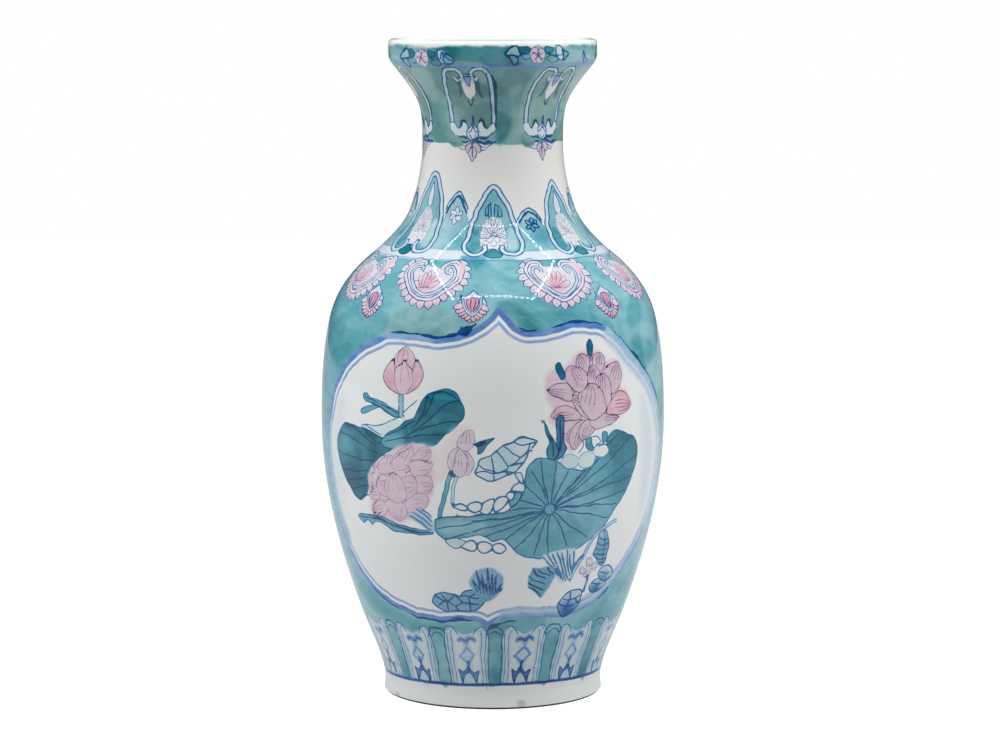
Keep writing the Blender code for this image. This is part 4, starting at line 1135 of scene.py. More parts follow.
for turn in headLook["turns"]:
    for foot, tip, low in fringe(headLook["outer"][2:18], headLook["heart"], headLook["fringe"], headLook["reach"],
            headLook["droop"]):
        wash(petalAt(foot, tip, headLook["half"], 0.85), turn, pink=0.3 + 0.1 * low, lav=0.07, edge=0.15, dark=0.8,
                soft=0.3, tip=(tip[0], tip[1], 5.0, (0, 0.06 + 0.4 * low, 0.1 - 0.06 * low)))
        brush([(0.5 * (foot[0] + tip[0]), 0.5 * (foot[1] + tip[1])), tip], turn, half=0.11, dark=0.4)
    coreX, coreZ = headLook["core"]
    tint(headLook["outer"], turn, pink=0.24, lav=0.08, soft=0.5, tip=(coreX, coreZ + 1, 8, (0, 0.95, 0.05)))
    for a in np.radians(headLook["fan"]):
        tip = (coreX + 6.2 * math.sin(a), coreZ + 8.2 * math.cos(a))
        wash(petalAt((coreX + 1.4 * math.sin(a), coreZ), tip, 1.6, 0.25), turn, pink=0.8, lav=0.04, edge=0.11,
                dark=0.5, tip=(tip[0], tip[1], 6.0, (0, 0.12, 0.07)))
    ribbon(headLook["inner"], headLook["innerHalf"], turn, lav=0.16, teal=0.06, edge=0.16, dark=0.72)
    ribbon(headLook["outer"], headLook["outerHalf"], turn, lav=0.1, pink=0.16, edge=0.18, dark=0.76)
    tint(headLook["blush"], turn, pink=0.75, soft=0.5, cover=0.8)

# Smaller heads between them: a cup of two rosy petals under a pointed roof
smallHead = {
    "turns": (-49.5, -7.2, 46.5, 130.5, 172.8, 226.5), "heart": (0, 222.5), "fringe": 11, "reach": 5.4, "half": 1.9,
    "droop": 0.5,
    "cup": [(-3.9, 226), (-3.2, 222.6), (-2, 219.4), (-0.1, 217), (1.8, 219), (2.8, 222), (3.3, 226)],
    "onion": [(0, 229.9), (0, 229.9), (-1.7, 228), (-3.7, 226.3), (-5.4, 223.4), (-5.6, 220.4), (-3.4, 217),
        (0, 214.6), (3.4, 217), (5.4, 220.4), (5.2, 223.4), (3.6, 226.3), (1.7, 228)],
    "core": [(-2.2, 225.2), (-2.0, 222.4), (-1.3, 220.2), (-0.1, 218.5), (1.1, 220), (1.8, 222.2), (2.0, 225.2),
        (0, 226.2)],
}
for turn in smallHead["turns"]:
    wash(smallHead["onion"], turn, pink=0.1, lav=0.16, edge=0.17)
    for foot, tip, low in fringe(smallHead["cup"][1:-1], smallHead["heart"], smallHead["fringe"], smallHead["reach"],
            smallHead["droop"]):
        wash(petalAt(foot, tip, smallHead["half"], 0.45), turn, pink=0.5, lav=0.05, edge=0.15, dark=0.76,
                tip=(tip[0], tip[1], 4.0, (0, 0.3 + 0.8 * low, 0.06)))
    tint(smallHead["cup"], turn, pink=0.14, lav=0.1, soft=0.4)
    wash(smallHead["core"], turn, pink=1.15, lav=0.08)
    for x in (-0.9, 0.8):
        brush([(0.3 * x, 219.6), (x, 222.4), (0.9 * x, 225)], turn, half=0.2, dark=0.6)
    ribbon(smallHead["cup"], 0.62, turn, lav=0.17, teal=0.06, edge=0.18, dark=0.76)

# Lappets on the shoulder: seven large ones and a small one in each gap
lappetLook = {
    "turns": [0.5 + 360.0 * k / 7 for k in range(7)], "tall": (1.0, 1.04, 1.0, 1.08, 1.02, 1.1, 1.19), "foot": 245.0,
    "edge": [(0, 281.4), (3.4, 279.6), (6.6, 276), (9.4, 272.8), (11.3, 269.6), (11.9, 266.2), (13.4, 263),
        (14.5, 259.6), (14.7, 256.4), (15.9, 253), (15.6, 250.2), (13.6, 247.9), (9.8, 246.9), (6.2, 247.8),
        (4.2, 249.6), (4.4, 251)],
    "band": 1.25, "fill": 0.36, "leafTeal": (0.46, 0.16, 0.34, 0.18, 0.4, 0.14, 0.1), "pairFrom": 0.3,
    "blueGaps": (0, 3),
    "leaf": [(1.5, 265.6), (1.2, 272.8), (1.2, 272.8), (3.2, 271.8), (5.3, 270.2), (5.3, 270.2), (5.7, 266),
        (3.4, 266.6)],
    "core": (0.3, 256.2), "petals": [(-7.8, 256.2), (-7.4, 260.4), (-5.6, 263.6), (-3.0, 265.8), (0.3, 266.8),
        (3.6, 265.8), (6, 263.6), (7.8, 260.4), (8.2, 256.2)],
    "diamond": [(-4.8, 246.8), (-2, 248.6), (0, 249.6), (2.2, 248.6), (4.2, 247), (2.4, 245.6), (-2.4, 245.6)],
    "lobes": [([(-13.4, 250.2), (-14, 254), (-13, 258.6), (-9.2, 258.6), (-7.6, 254), (-7.8, 250.2), (-10.5, 248.4)],
        0.62), ([(7.8, 250), (8.2, 256), (10, 261), (12.8, 259), (13.8, 253), (12, 249.2)], 0.2)],
    "small": [(0, 278.9), (2.6, 278), (5.0, 275.6), (7.0, 272.8), (8.8, 269.6)], "smallIn": [(0, 276.3), (2.2, 275.5),
        (4.2, 273.2), (6.0, 270.6), (7.8, 267.6)],
    "smallTall": (0.68, 1.0, 0.82, 1.0, 0.88, 1.0, 1.0), "smallFoot": 252.0,
}
for k, turn in enumerate(lappetLook["turns"]):
    gap = turn + 360.0 / 14 - 0.4
    tall = lappetLook["smallTall"][k]
    lift = lappetLook["smallFoot"] * (1 - tall)
    outer = placed(mirrored(lappetLook["small"]), gap, lift, tall=tall)
    inside = placed(mirrored(lappetLook["smallIn"]), gap, lift, tall=tall)
    foot = [(gap - 12.5, 258), (gap - 12.5, 250), (gap + 12.5, 250), (gap + 12.5, 258)]
    tint(foot + outer[::-1], lav=0.06)
    tint(foot + inside[::-1], teal=0.26, lav=0.06, tip=(gap + 6, 257, 12, (0.5, 0, 0.02)))
    brush(outer, half=0.3, dark=0.72, taper=0.3)
    brush(inside, half=0.46, dark=0.88, taper=0.3)
    cx, cz = gap + 0.2, lift + tall * 266.4
    blue = k in lappetLook["blueGaps"]
    for a in np.arange(math.pi / 6, 2 * math.pi, math.pi / 3):
        tip = (cx + 4.7 * math.cos(a), cz + (4.6 - 0.8 * blue) * math.sin(a))
        wash(petalAt((cx + 0.6 * math.cos(a), cz + 0.5 * math.sin(a)), tip, 1.5 - 0.3 * blue, 0.3), teal=0.25 * blue,
                lav=0.05 + 0.3 * blue, edge=0.15 + 0.12 * blue, dark=0.6 + 0.35 * blue)
    brush([(cx - 0.5, cz), (cx + 0.5, cz)], half=0.4, dark=0.7)
for k, turn in enumerate(lappetLook["turns"]):
    tall = lappetLook["tall"][k]
    lift = lappetLook["foot"] * (1 - tall)

    def stand(points, flip=1.0):
        return placed(points, turn, lift, flip=flip, tall=tall)

    tint(stand(mirrored(lappetLook["edge"])), teal=lappetLook["fill"], moss=0.06, lav=0.08)
    for shape, teal in lappetLook["lobes"]:
        tint(stand(shape), teal=teal, soft=0.8)
    leafTeal = lappetLook["leafTeal"][k]
    if leafTeal < lappetLook["pairFrom"]:  # a pointed pale leaf in place of the pair
        wash(stand([(0, 277.5), (0, 277.5), (-2.4, 273), (-2.8, 267.6), (0, 265.6), (2.8, 267.6), (2.4, 273)]),
                lav=0.12, dark=0.5 + leafTeal)
    else:
        for flip in (-1, 1):
            wash(stand(lappetLook["leaf"], flip), teal=leafTeal, lav=0.16, dark=0.42 + 0.8 * leafTeal)
            brush(stand([(3.0, 271.4), (3.3, 269), (3.3, 266.8)], flip), half=0.2, dark=0.36 + 0.9 * leafTeal)
    core = lappetLook["core"]
    tint(stand([(-7, 252), (-7, 260), (-3.5, 265), (0, 266), (4, 265), (7.4, 260), (7.4, 252), (4, 250), (-4, 250)]),
            lav=0.03, pink=0.08)
    flowerDark = 0.5 if k == 0 else 0.2 + 0.3 * leafTeal
    for tip in lappetLook["petals"]:
        foot = (core[0] + 0.18 * (tip[0] - core[0]), core[1] + 0.18 * (tip[1] - core[1]))
        wash(stand(petalAt(foot, tip, 1.25, 0.15)), pink=0.12, lav=0.03, edge=0.13, dark=flowerDark,
                tip=(turn + core[0], lift + tall * core[1], 4.6, (0, 0.36, 0.12)))
        brush(stand([foot, (0.3 * foot[0] + 0.7 * tip[0], 0.3 * foot[1] + 0.7 * tip[1])]), half=0.11,
                dark=0.7 * flowerDark)
    brush(stand([(core[0] - 0.5, core[1]), (core[0] + 0.5, core[1])]), half=0.45, dark=0.62)
    for low, wide, count in ((255.4, 6.6, 5), (253.2, 6.2, 4), (251.2, 4.4, 3)):  # rows of small petals below
        for x in np.linspace(-wide, wide, count):
            brush(stand([(x - wide / count, low + 0.7), (x, low - 0.6), (x + wide / count, low + 0.7)]), half=0.13,
                    dark=0.9 * flowerDark)
    wash(stand(lappetLook["diamond"]), teal=0.92)
    ribbon(stand(mirrored(lappetLook["edge"])), lappetLook["band"], lav=0.12, teal=0.03, edge=0.27, dark=0.82)
print("shoulder painted:", len(paintLayers), "layers")

# Scrolled frames on the trumpet, each with a bud above, clouds below and a pendant on the white neck
frameLook = {
    "turns": [-16.0 + 60.0 * k for k in range(6)], "half": 1.2, "teal": 0.49, "moss": 0.88,
    "edge": [(6.6, 339.8), (5.4, 338.4), (3.7, 339.0), (2.8, 341.3), (4, 343.8), (7, 345.1), (10.4, 344.8),
        (13, 342.4), (14.8, 338), (15.8, 333), (16.6, 327), (17, 321), (16.7, 316.4), (15.4, 313.4), (12.4, 311.4),
        (9, 311)],
    "pools": [  # outline, teal, moss, on every how many frames
        ([(19, 322), (28, 320), (30, 312), (26, 305.6), (19, 305.6), (18, 312)], 1.2, 0.76, 2),
        ([(-42, 332), (-34, 334), (-30, 318), (-36, 312), (-43, 318)], 0.62, 0.6, 1),
        ([(-8, 326), (-4, 322), (-6, 318), (-12, 319), (-12, 324)], 0.52, 0.9, 1),
        ([(20, 344), (34, 344), (34, 330), (22, 328)], 0.34, 0.5, 1),
    ],
    "cloud": [(3.4, 312.4), (4.6, 315.2), (7, 316.4), (9.2, 315.4), (10.2, 313.7), (12.6, 313.4), (15.2, 315.8),
        (18, 315.2), (18, 312), (14, 309.4), (8, 308.5), (4, 309)],
    "scroll": [(4.8, 315.2), (6.4, 316.9), (8.6, 316.6), (9.8, 314.4), (11.6, 313.2)],
    "palmette": [(0, 317.2), (1.5, 314.6), (3.2, 313.2), (4.6, 310.6), (3.4, 308.0), (0, 306.8)],
    "under": [(1.6, 307.2), (6.5, 307.8), (11.5, 308.8), (15.6, 311.2), (18.4, 315)],
    "bud": [(0, 341), (3.0, 339.4), (4.3, 336), (3.9, 332), (1.9, 329.4), (0, 328)],
    "budTop": [(0, 341), (1.7, 340.6), (1.4, 338), (0, 335.6)],
    "thorn": [(4.4, 338.8), (6.4, 337.6), (8.6, 338), (7, 335.6), (7.4, 332.8), (9.4, 329.2), (6.4, 331),
        (5.2, 333.8), (4.4, 336.4)],
    "sideLeaf": [(1.4, 306.4), (5, 305.6), (10, 305.2), (17.5, 305.4), (13.5, 303.2), (9.4, 301.4), (5.4, 302.2),
        (2.2, 304.4)],
    "pendant": [[(-0.4, 304.4), (-3.6, 304.8), (-6.2, 302.4), (-5.2, 300.2), (-2, 301)],
        [(0.4, 304.4), (3.6, 304.8), (6.2, 302.4), (5.2, 300.2), (2, 301)], [(0, 303), (2.6, 301.4), (3.6, 299),
        (1.8, 296.6), (0, 294.9), (-1.8, 296.6), (-3.6, 299), (-2.6, 301.4)]],
}
for k, turn in enumerate(frameLook["turns"]):
    for shape, teal, moss, every in frameLook["pools"]:
        if k % every == 0:
            tint(shape, turn, teal=teal, moss=moss, soft=2.0, cover=0.75)
for k, turn in enumerate(frameLook["turns"]):
    wide = {-1: 1.1 - 0.1 * (k % 2), 1: 1.0}  # no two frames are drawn quite alike
    tint(mirrored(frameLook["edge"][2:]), turn, teal=frameLook["teal"], moss=frameLook["moss"], soft=0.5, cover=0.8)
    for flip in (-1, 1):
        wash(placed(frameLook["sideLeaf"], turn, flip=flip), lav=0.06, pink=0.16, edge=0.14, dark=0.56)
        brush(placed([(1.2, 306.4), (6, 305.4), (12, 305), (18.4, 305.4)], turn, flip=flip),
                half=0.34 + 0.22 * (flip > 0), dark=0.85)
        brush(placed([(2.4, 305), (7, 303.4), (11, 303)], turn, flip=flip), half=0.15, dark=0.45)
        brush(placed(frameLook["under"], turn, flip=flip, wide=wide[flip]), half=0.34 + 0.3 * (flip > 0), dark=0.95)
        ribbon(placed(frameLook["edge"], turn, flip=flip, wide=wide[flip]), frameLook["half"], lav=0.1, teal=0.12,
                moss=0.1, edge=0.26, dark=0.86)
        wash(placed(frameLook["cloud"], turn, flip=flip, wide=wide[flip]), lav=0.06, teal=0.05, moss=0.08, edge=0.15,
                dark=0.55)
        brush(placed(frameLook["scroll"], turn, flip=flip), half=0.46, dark=0.88)
    brush([(15.4, 342), (17.6, 336), (18.7, 328), (19, 320), (18.2, 314)], turn, half=0.5, dark=0.95)
    brush([(12, 343.4), (13.4, 338), (14.6, 330), (15.4, 322), (15, 316)], turn, half=0.26, dark=0.85)
    wash(mirrored(frameLook["palmette"]), turn, lav=0.1, pink=0.08)
    for flip in (-1, 1):
        brush(placed([(0.6, 314), (1.8, 311.6), (3.2, 311)], turn, flip=flip), half=0.22, dark=0.62)
        brush(placed([(2.4, 309.8), (1.4, 308.6), (0.4, 307.4)], turn, flip=flip), half=0.2, dark=0.6)
    tint([(3, 311.6), (4.6, 312.2), (5, 310.6), (3.6, 310)], turn, lav=1.1, soft=0.5)
    brush([(0, 313), (0, 316), (0, 318.4)], turn, half=0.4)
    for shape in frameLook["pendant"]:
        wash(shape, turn, lav=0.1, pink=0.36, moss=0.12, edge=0.18, dark=0.66)
    brush([(0, 306.8), (0, 303), (0, 298)], turn, half=0.26, dark=0.55)
    wash(mirrored(frameLook["bud"]), turn, pink=0.14, moss=0.1, edge=0.13, dark=0.45,
            tip=(0, 340, 6, (0, 0.25, 0.35)))
    wash(mirrored(frameLook["budTop"]), turn, lav=0.62, pink=0.2, edge=0.16)
    for flip, teal in ((1, 1.5), (-1, 1.1)):
        tint(placed(frameLook["thorn"], turn, flip=flip), teal=teal, moss=0.3)
    brush([(-2.2, 328), (-0.2, 325), (2.6, 328.8)], turn, half=0.32, dark=0.72)
    for z in (341.2, 342.6):
        brush([(-3, z), (3, z)], turn, dark=0.75)
    tint([(-20, 305.4), (-14, 305.6), (-9, 305), (-9, 303.2), (-14, 302.8), (-18, 303.6)], turn, teal=0.7, moss=0.8,
            soft=0.6, cover=0.85)

# Flower sprays on the collar, and darker patches along its upper edge
collarLook = {
    "sprays": ((-42, -2.2), (25, 0), (97, -1.0), (169, 0.2), (241, -1.6)), "half": 2.9, "pink": 0.42, "heart": 352.8,
    "top": 357.3, "patchTurns": (0, 144, 245), "sprigTurns": (-27, 60, 132, 204), "petals": (90, 162, 234, 306, 18),
    "sprig": [(-2, 351.6), (-0.6, 354), (1.2, 351.4), (5.6, 349), (1.2, 348.2), (-0.8, 349.4)],
    "patches": [([(-31, 356), (-20, 356.6), (6, 356.6), (9, 353), (6, 349.4), (-14, 349.4), (-30, 350)], 0.98, 0),
        ([(42, 356.8), (74, 356.6), (74, 349.4), (44, 349)], 0.34, 0.06),
        ([(-24, 357.3), (-12, 357.3), (4, 357.4), (10, 356.8), (7, 355.2), (-8, 355.4), (-24, 355.6)], 0.86, 0.1),
        ([(-75, 356.6), (-57, 356.4), (-56, 354.6), (-64, 354), (-75, 354.6)], 0.52, 0.28),
        ([(46, 357.2), (62, 357), (60, 355), (48, 355.4)], 0.5, 0.16),
        ([(-40, 353), (-26, 355), (-24, 350.6), (-36, 349.6)], 0.72, 0),
        ([(-6, 348.6), (4, 349.4), (16, 348.6), (12, 346.8), (-2, 346.6)], 0.62, 0.5)],
}
for turn in collarLook["patchTurns"]:
    for shape, teal, lav in collarLook["patches"]:
        tint(shape, turn, teal=teal, lav=lav, moss=0.3, soft=0.7, cover=0.75)
heart = collarLook["heart"]
for turn, lift in collarLook["sprays"]:
    def spray(points):
        return placed([(x, min(z + lift, collarLook["top"])) for x, z in points], turn)

    wash(spray([(-18.4, 353.4), (-14, 357.2), (-11, 357.2), (-9.6, 352.8), (-13, 352.4), (-16, 351.6)]), teal=0.26,
            moss=0.15, lav=0.05, edge=0.42, dark=0.98)
    wash(spray([(-16.6, 352), (-12.4, 352.2), (-10.8, 349.6), (-12.6, 347.6), (-14.8, 348.6)]), teal=0.42, moss=0.2,
            lav=0.2, edge=0.42, dark=0.98)
    wash(spray([(-10.4, 357), (-6, 357), (-4.4, 354.4), (-7, 353.6), (-9.6, 354)]), teal=1.15, moss=0.4)
    wash(spray([(-8.6, 353), (-4.8, 352.6), (-4.6, 350.4), (-7.6, 350.6)]), teal=0.2, lav=0.5, dark=0.6)
    wash(spray([(4.6, 357), (6.8, 357), (9.8, 355.6), (8.6, 353.6), (5.4, 354)]), teal=0.85, dark=0.6)
    wash(spray([(11.4, 357.2), (15, 357), (16.4, 354), (15.6, 350.6), (13.6, 350.4), (11.6, 353.6)]), teal=0.12,
            lav=0.06, edge=0.24, dark=0.66)
    wash(spray([(16, 355.6), (18.4, 354.4), (20.4, 352.6), (18.6, 350.6), (16.4, 349.4), (16.6, 352.4)]), teal=0.46,
            lav=0.16, edge=0.36, dark=0.85)
    brush(spray([(6, 353.2), (9, 352), (12.4, 352.4), (16, 352.8)]), dark=0.7)
    wash(spray([(5.6, 350.6), (8, 352), (12, 351.6), (13, 349.6), (9, 348.6)]), teal=0.55, moss=0.35, dark=0.65)
    for a in np.radians(collarLook["petals"]):
        foot = (0.7 * math.cos(a), heart + 0.7 * math.sin(a))
        tip = (4.9 * math.cos(a), heart + 4.7 * math.sin(a))
        wash(spray(petalAt(foot, tip, collarLook["half"])), pink=collarLook["pink"], lav=0.1, edge=0.15, dark=0.5,
                tip=(turn, heart + lift, 3.2, (0, 0.62, 0.2)))
        brush(spray([foot, (0.3 * foot[0] + 0.7 * tip[0], 0.3 * foot[1] + 0.7 * tip[1])]), half=0.15, dark=0.5)
for turn in collarLook["sprigTurns"]:
    wash(collarLook["sprig"], turn, teal=0.25, lav=0.3, edge=0.24)
    brush([(-0.6, 353.8), (0, 350), (0.4, 347)], turn, dark=0.7)
print("mouth painted:", len(paintLayers), "layers")

# Panels round the foot, with upright teal strips between them
stripLook = {
    "panels": 14, "first": 14.0, "teal": 0.46, "panelTeal": 0.08, "panelLav": 0.17, "low": 14.0,
    "head": [(-3.6, 39.2), (-4, 41.4), (-2.2, 42.8), (-0.4, 41.6), (1.6, 43.4), (4.2, 41.8), (4.2, 38.8), (2.2, 40.2),
        (0.8, 37.8), (-0.4, 37.8), (-1.8, 39.8)],
    "diamond": [(0, 35.8), (0, 35.8), (3.2, 31.6), (3.2, 31.6), (0, 26.4), (0, 26.4), (-3.6, 30.6), (-3.6, 30.6)],
    "leg": [(0.1, 24.6), (1.2, 22.6), (2.6, 21), (4.6, 22.4), (4.3, 19.6), (4.0, 17), (3.4, 15.2), (2.6, 17.4),
        (1.6, 20), (0.1, 21.8)],
    "lifts": (0, -1.2, -1.8, 0.6, -0.6, 0.8, -1.0, 0.4, -1.4, 0.2, -0.4, -2.2, -2.4, -0.4),
    "strengths": (1.0, 0.72, 0.5, 0.9, 0.75, 1.0, 0.6, 0.85, 1.0, 0.7, 0.95, 0.6, 0.75, 0.62),
    "drips": ((-25, 11.2, 0.5), (27, 11.9, 0.6), (54.5, 10.4, 0.42), (-36.5, 10.4, 0.12), (150, 11, 0.5),
        (215, 10.8, 0.4)),
    "stains": ((15, 2.6, 2.2, 2.0, 0.55), (-60, 1.6, 2.6, 0.9, 1.4), (120, 2.2, 2.4, 1.6, 0.5),
        (235, 1.8, 2.0, 1.0, 1.0)),
}
for k in range(stripLook["panels"]):
    pitch = 360.0 / stripLook["panels"]
    turn = stripLook["first"] + pitch * k
    lift, strong = stripLook["lifts"][k], stripLook["strengths"][k]  # each panel is drawn by hand
    top, low = 46.2 + 0.8 * lift, stripLook["low"]
    tint([(-9.4, low), (-9.4, low), (-9.2, 30), (-9.4, top - 1.5), (-6.8, top + 1.8), (-3.4, top - 0.6),
            (0, top - 2.2), (3.4, top - 0.6), (6.8, top + 2), (9.4, top - 1.5), (9.2, 30), (9.4, low), (9.4, low)],
            turn, teal=stripLook["panelTeal"], lav=stripLook["panelLav"], moss=0.05, soft=0.35)
    for flip in (-1, 1):
        tint(placed([(5.6, low + 1), (5.4, 30), (5.4, top - 3), (2.2, top - 4), (2.2, 30), (2.6, low + 1)], turn,
                flip=flip), teal=0.09, moss=0.14, soft=0.9)
        brush(placed([(8.5, low), (8.3, 30), (8.6, top - 2), (7.2, top + 0.9)], turn, flip=flip), half=0.16, dark=0.5,
                taper=0.3)
        brush(placed([(6.7, low + 0.6), (6.6, 30), (6.7, top - 3), (5.8, top - 0.4)], turn, flip=flip), half=0.16,
                dark=0.5, taper=0.3)
        brush(placed([(9.6, top - 3.4), (8.8, top + 0.8), (6.7, top + 2), (4.6, top + 0.4), (3.4, top - 2.4)], turn,
                flip=flip), dark=0.58)
    strip = turn + pitch / 2
    tint([(-2.9, low - 0.8), (-2.9, low - 0.8), (-2.6, 28), (-3.0, top - 2), (0, top + 1.2), (3.0, top - 2),
            (2.6, 28), (2.9, low - 0.8), (2.9, low - 0.8)], strip, teal=stripLook["teal"], lav=0.05, moss=0.08,
            soft=0.35, tip=(1, 16, 11, (0.75 if k % 2 == 1 else 0.52, 0, 0.05)))
    for side, dark in ((-1, 0.42), (1, 0.66)):
        brush(placed([(3.1, low), (2.8, 28), (3.2, top - 2.4)], strip, flip=side), half=0.26, dark=dark, taper=0.3)
    for wide, rise, half in ((3.9, 2.4, 0.34), (2.4, -0.2, 0.26)):
        brush([(-wide, top - 2.8), (-0.66 * wide, top + rise - 1.0), (0, top + rise), (0.66 * wide, top + rise - 1.0),
                (wide, top - 2.8)], strip, half=half, dark=0.66)
    tint(placed(stripLook["head"], turn, lift), teal=0.12, lav=0.95 * strong, soft=0.6)
    brush(placed([(-3.4, 40.6), (-1.4, 41.4), (0.2, 39.6), (1.8, 41.6), (3.6, 40.4)], turn, lift), half=0.34 * strong,
            dark=0.8 * strong)
    ribbon(placed([(0, 38.6), (0.2, 35.6)], turn, lift), 0.5, lav=0.8 * strong)
    ribbon(placed(stripLook["diamond"], turn, lift), 0.62, lav=0.95 * strong, teal=0.12, closed=True, soft=0.3)
    brush(placed([(0.1, 28), (0, 25.4), (0.1, 23)], turn, 0.6 * lift), half=0.6, dark=0.78 * strong)
    for flip in (-1, 1):
        wash(placed(stripLook["leg"], turn, 0.6 * lift, flip=flip), teal=0.25, lav=1.2 * strong, edge=0.26,
                dark=0.95 * strong)
for x, z, teal in stripLook["drips"]:
    tint([(x - 1.6, 13.6), (x - 0.8, z + 1), (x + 0.1, z), (x + 1, z + 1), (x + 1.6, 13.6)], teal=teal, soft=0.5)
for x, z, wide, tall, moss in stripLook["stains"]:
    tint([(x + wide * math.cos(a), z + tall * math.sin(a)) for a in np.linspace(0, 2 * math.pi, 9)[:-1]], moss=moss,
            teal=0.09, soft=0.9)
print("foot painted:", len(paintLayers), "layers")

pointAngles, pointSlants = strokePoints()
glaze = makeGlaze("paintedGlaze")

# Pieces: each stands for one section of the potter's body
wall, chamfer, floorSeat, lipLevel = (vaseForm[key] for key in ("wall", "footChamfer", "floorSeat", "lipLevel"))
footTop = vaseForm["cuts"][0]
seat = wallPoint(footTop, wall)[0]


def innerRun(low, high, steps):  # inner face of the wall between two outer heights
    return [wallPoint(z, wall) for z in np.linspace(low, high, steps)]


footOut = stationR[0]
footIn = footOut - vaseForm["footWidth"]
footEdge = (outerForm(chamfer)[0] - 0.06, 0.95 * chamfer)  # the near-black unglazed edge starts just below the chamfer's edge
turnedPiece("footRing", "foot_ring", chamfer, footTop,
            [footEdge, (footOut - chamfer, 0.0), (footIn + chamfer, 0.0), (footIn, chamfer),
             (footIn, floorSeat), (seat, floorSeat), (seat, footTop)], 4, glaze, bareBelow=0.97 * chamfer)
sections = {  # node, slot, points down the inner face
    "lowerBelly": ("lower_belly", "pale_teal_glaze", 20),
    "upperBelly": ("upper_belly", "pale_teal_glaze", 16),
    "shoulderNeck": ("shoulder_neck", "white_glaze", 18),
    "trumpetMouth": ("trumpet_mouth", "teal_glaze", 14),
}
for (name, (node, slot, steps)), low, high in zip(sections.items(), vaseForm["cuts"], vaseForm["cuts"][1:]):
    turnedPiece(name, node, low, high, innerRun(low, high, steps), 2, glaze)
collarFoot = vaseForm["cuts"][-1]
lipMid = stationR[-1] - wall / 2
lip = [(lipMid + wall / 2 * math.cos(a), lipLevel + wall / 2 * math.sin(a)) for a in np.linspace(math.pi, 0,
        13)[1:-1]]
turnedPiece("mouthCollar", "mouth_collar", collarFoot, lipLevel,
            innerRun(collarFoot, lipLevel, 7) + lip, 4, glaze)

# The floor disc sits on the ledge of the foot; its two faces are fans round the axis
floorLook = {"gap": 0.05, "thick": 6.25, "chamfer": 0.5}


def floorDisc():
    columns = vaseForm["columns"]
    edge = seat - floorLook["gap"]
    bottom = floorSeat + floorLook["gap"]
    top = bottom + floorLook["thick"]
    path = np.array([(0.0, bottom), (edge, bottom), (edge, top - floorLook["chamfer"]), (edge - floorLook["chamfer"],
            top), (0.0, top)])
    turn = 2 * math.pi * np.arange(columns) / columns
    xyz = [np.array([[0.0, 0.0, bottom]])]
    for r, z in path[1:-1]:
        xyz.append(np.stack([r * np.cos(turn), r * np.sin(turn), np.full(columns, z)], 1))
    xyz = np.concatenate(xyz + [np.array([[0.0, 0.0, top]])])
    j = np.arange(columns)
    jn = (j + 1) % columns
    last = len(xyz) - 1
    faces = [np.stack([np.zeros(columns, int), 1 + jn, 1 + j], 1)]
    for i in range(2):
        a, b = 1 + i * columns, 1 + (i + 1) * columns
        faces += [np.stack([a + j, a + jn, b + jn], 1), np.stack([a + j, b + jn, b + j], 1)]
    faces.append(np.stack([1 + 2 * columns + j, 1 + 2 * columns + jn, np.full(columns, last)], 1))
    faces = np.concatenate(faces)
    square = np.cross(xyz[faces[:, 1]] - xyz[faces[:, 0]], xyz[faces[:, 2]] - xyz[faces[:, 0]])
    normals = np.repeat(square / np.linalg.norm(square, axis=1)[:, None], 3, axis=0)
    side = np.where(xyz[faces].mean(1)[:, 2] > bottom + 1, 0.75, 0.25).repeat(3)
    flat = xyz[faces.ravel()]
    reach = 1 + 0.04 * (flat[:, 2] - bottom) / floorLook["thick"]
    uv = np.stack([side + 0.23 * flat[:, 0] / edge / reach, 0.5 + 0.46 * flat[:, 1] / edge / reach], 1)
    glazedPiece("floorDisc", "floor_disc", xyz, faces, normals, uv, np.zeros((len(xyz), 5)),
                np.full(len(xyz), handLook["plainDark"]), bottom + 0.3, glaze)


floorDisc()

# Studio: white floor and backdrop, broad side lights, the dim side towards the camera
studioLook = {
    "floorSize": 6.0, "floorDiffuse": 0.3, "floorGlow": 0.41, "floorSeen": 0.6, "worldLevel": 0.36, "glossLevel": 0.1,
    "coolLight": (0.97, 0.99, 1.0), "aim": (0, 0, 0.2),
    "boxes": {  # place, side of the square, power
        "leftBox": ((-0.78, -0.25, 0.8), 0.6, 7.3), "rightBox": ((0.78, -0.22, 0.8), 0.6, 7.519),
        "topBox": ((0.0, 0.1, 1.5), 1.0, 16.4),
    },
    "frameHeight": 1.2, "frameFront": -0.56, "frameBack": 0.45, "frameHalf": 0.47,
    "ledPitch": 0.064, "ledSize": 0.018, "ledGlow": 75.0,
}


def staged(name, corners):  # a thing of the studio, made of squares
    mesh = bpy.data.meshes.new(name)
    mesh.from_pydata(corners, [], [tuple(range(i, i + 4)) for i in range(0, len(corners), 4)])
    thing = bpy.data.objects.new(name, mesh)
    scene.collection.objects.link(thing)
    paint = bpy.data.materials.new(name + "Paint")
    paint.use_nodes = True
    mesh.materials.append(paint)
    return thing, paint.node_tree


# strength of a glow: a base level, and changes for what the named rays see
def rayLevel(tree, base, changes):
    path = tree.nodes.new("ShaderNodeLightPath")
    total = None
    for ray, change in changes:
        add = tree.nodes.new("ShaderNodeMath")
        add.operation = "MULTIPLY_ADD"
        tree.links.new(path.outputs[ray], add.inputs[0])
        add.inputs[1].default_value = change
        add.inputs[2].default_value = base
        if total:
            tree.links.new(total, add.inputs[2])
        total = add.outputs[0]
    return total


